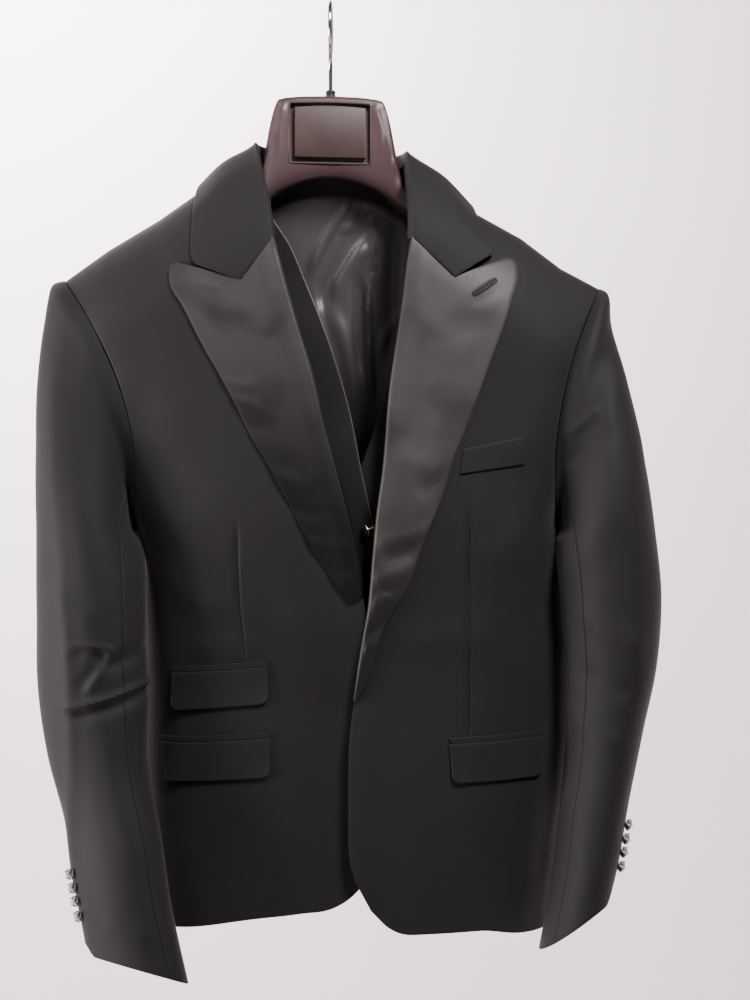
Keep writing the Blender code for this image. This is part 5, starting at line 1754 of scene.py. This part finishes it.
def legs_grid():
    """The outer face of the folded legs: up in front, over the bar and down behind."""
    path = [(BAR_Y - TROUSER_TURN, z) for z in np.linspace(TROUSER_HEM, BAR_Z, 26)]
    for step in range(1, 16):
        angle = math.pi * (1 - step / 16)
        path.append((BAR_Y + TROUSER_TURN * math.cos(angle), BAR_Z + TROUSER_TURN * math.sin(angle)))
    path += [(BAR_Y + TROUSER_TURN, z) for z in np.linspace(BAR_Z, TROUSER_WAIST + WAISTBAND, 22)]
    grid = np.array([[(x, y, z) for x in TROUSER_COLUMNS] for y, z in path])
    x, y, _ = np.moveaxis(grid, -1, 0).copy()
    down = reach_along(grid[:, 0])[:, None]
    wave = 0.5 * np.sin(x / 26 + down / 90) * np.sin(down / 60 + 0.8)
    grid[..., 1] += wave * np.where(y < BAR_Y, -0.6, 1) * ease(np.abs(y - BAR_Y) / 11 - 0.3)
    grid[..., 0] += 0.02 * np.sin(down / 130) * x * 0.5
    return grid


class SUIT_OT_trousers(bpy.types.Operator):
    """Builds the trousers, folded over the bar behind the waistcoat"""

    bl_idname = "suit.trousers"
    bl_label = "Trousers"

    def execute(self, context):
        grid = legs_grid()
        wool = "trouser_worsted", "trouser_wool"
        piece = cloth("folded_legs", grid, UP, *wool, TROUSER_WALL, LAYERED_RIM, TROUSER_ROLL)
        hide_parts("trousers_legs")
        levels = np.linspace(TROUSER_WAIST + WAISTBAND - SEAM, TROUSER_WAIST, 12)
        band = np.array([[(x, BAR_Y + TROUSER_TURN + 1, z) for x in TROUSER_COLUMNS] for z in levels])
        piece = cloth("waistband", band, BACK, *wool, TROUSER_WALL + CLOTH, LAYERED_RIM, TROUSER_ROLL)
        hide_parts("trousers_waistband")
        return {"FINISHED"}


Lamp = namedtuple("Lamp", "name place aim size power tint")
LAMPS = table(
    Lamp,
    ("high_right", (0.75, -1.15, 1.0), (0.0, 0.0, -0.38), 0.6, 86, (1.0, 0.955, 0.96)),
    ("high_left", (-0.9, -1.1, 0.9), (0.0, 0.0, -0.38), 0.8, 14, (1.0, 0.95, 0.96)),
    ("left", (-2.2, -0.5, -0.5), (-0.2, 0.0, -0.4), 0.9, 120, (1.0, 0.95, 0.93)),
    ("wall", (-1.4, 1.5, 1.7), (-1.0, 3.3, 0.4), 1.3, 500, (1.0, 0.925, 0.955)),
)


# The backdrop, in metres
BOARD_FAR, BOARD_NEAR = 3.3, -9.0
BOARD_FLOOR, BOARD_TOP = -2.4, 4.0
BOARD_HALF, BOARD_BEND = 7.0, 0.4
EYE_X, LENS, SENSOR = 0.0415, 64, 36
WORLD_COLOUR, WORLD_STRENGTH = (0.93, 0.9, 0.93, 1), 0.1


def backdrop_mesh():
    """A floor that bends up into a wall behind the suit."""
    profile = [(BOARD_NEAR, BOARD_FLOOR), (BOARD_FAR - BOARD_BEND, BOARD_FLOOR)]
    for a in np.linspace(0.1, 1.57, 12):
        level = BOARD_FLOOR + BOARD_BEND - BOARD_BEND * math.cos(a)
        profile.append((BOARD_FAR - BOARD_BEND + BOARD_BEND * math.sin(a), level))
    profile.append((BOARD_FAR, BOARD_TOP))
    points = [(x, y, z) for y, z in profile for x in (-BOARD_HALF, BOARD_HALF)]
    faces = [(2 * i, 2 * i + 1, 2 * i + 3, 2 * i + 2) for i in range(len(profile) - 1)]
    mesh = bpy.data.meshes.new("backdrop")
    mesh.from_pydata(points, [], faces)
    mesh.shade_smooth()
    mesh.materials.append(material_of("matt_board"))
    return mesh


def placed(name, data, place, rotation):
    """A new object at a place in metres, turned."""
    made = linked(name, data)
    made.location = place
    made.rotation_euler = rotation
    return made


class SUIT_OT_stage(bpy.types.Operator):
    """Builds the pale backdrop and floor, the soft lamps and the camera"""

    bl_idname = "suit.stage"
    bl_label = "Stage"

    def execute(self, context):
        scene = context.scene
        board = linked("backdrop", backdrop_mesh())
        for lamp in LAMPS:
            light = bpy.data.lights.new(lamp.name, "AREA")
            light.shape, light.size = "DISK", lamp.size
            light.energy, light.color = lamp.power, lamp.tint
            turn = (Vector(lamp.aim) - Vector(lamp.place)).to_track_quat("-Z", "Y").to_euler()
            placed(lamp.name, light, lamp.place, turn)
        world = bpy.data.worlds.new("studio")
        world.use_nodes = True
        background = world.node_tree.nodes["Background"]
        background.inputs["Color"].default_value = WORLD_COLOUR
        background.inputs["Strength"].default_value = WORLD_STRENGTH
        scene.world = world
        camera = bpy.data.cameras.new("camera")
        camera.lens, camera.sensor_width = LENS, SENSOR
        eye = (EYE_X, -sizes().view_distance, sizes().view_height)
        scene.camera = placed("camera", camera, eye, (math.radians(90), 0, 0))
        return {"FINISHED"}


OPERATORS = (
    SUIT_OT_hanger, SUIT_OT_hook, SUIT_OT_jacket_body, SUIT_OT_lapels, SUIT_OT_collar, SUIT_OT_sleeves,
    SUIT_OT_cuff_buttons, SUIT_OT_pockets, SUIT_OT_waistcoat, SUIT_OT_waistcoat_buttons, SUIT_OT_trousers,
    SUIT_OT_stage,
)


class SUIT_PT_panel(bpy.types.Panel):
    """Lists the suit's operators, sizes and colours"""

    bl_idname = "SUIT_PT_panel"
    bl_label = "Dinner suit"
    bl_space_type = "VIEW_3D"
    bl_region_type = "UI"
    bl_category = "Suit"

    def draw(self, context):
        for group in (context.scene.suit_sizes, context.scene.suit_colours):
            box = self.layout.box()
            for name in group.bl_rna.properties.keys():
                if name not in ("rna_type", "name"):
                    box.prop(group, name)
        column = self.layout.column()
        for operator in OPERATORS:
            column.operator(operator.bl_idname)


CLASSES = (SuitSizes, SuitColours, *OPERATORS, SUIT_PT_panel)


def register():
    for kind in CLASSES:
        bpy.utils.register_class(kind)
    bpy.types.Scene.suit_sizes = bpy.props.PointerProperty(type=SuitSizes)
    bpy.types.Scene.suit_colours = bpy.props.PointerProperty(type=SuitColours)


def unregister():
    del bpy.types.Scene.suit_sizes
    del bpy.types.Scene.suit_colours
    for kind in reversed(CLASSES):
        bpy.utils.unregister_class(kind)


def main():
    register()
    for operator in OPERATORS:
        group, name = operator.bl_idname.split(".")
        getattr(getattr(bpy.ops, group), name)()


if __name__ == "__main__":
    main()
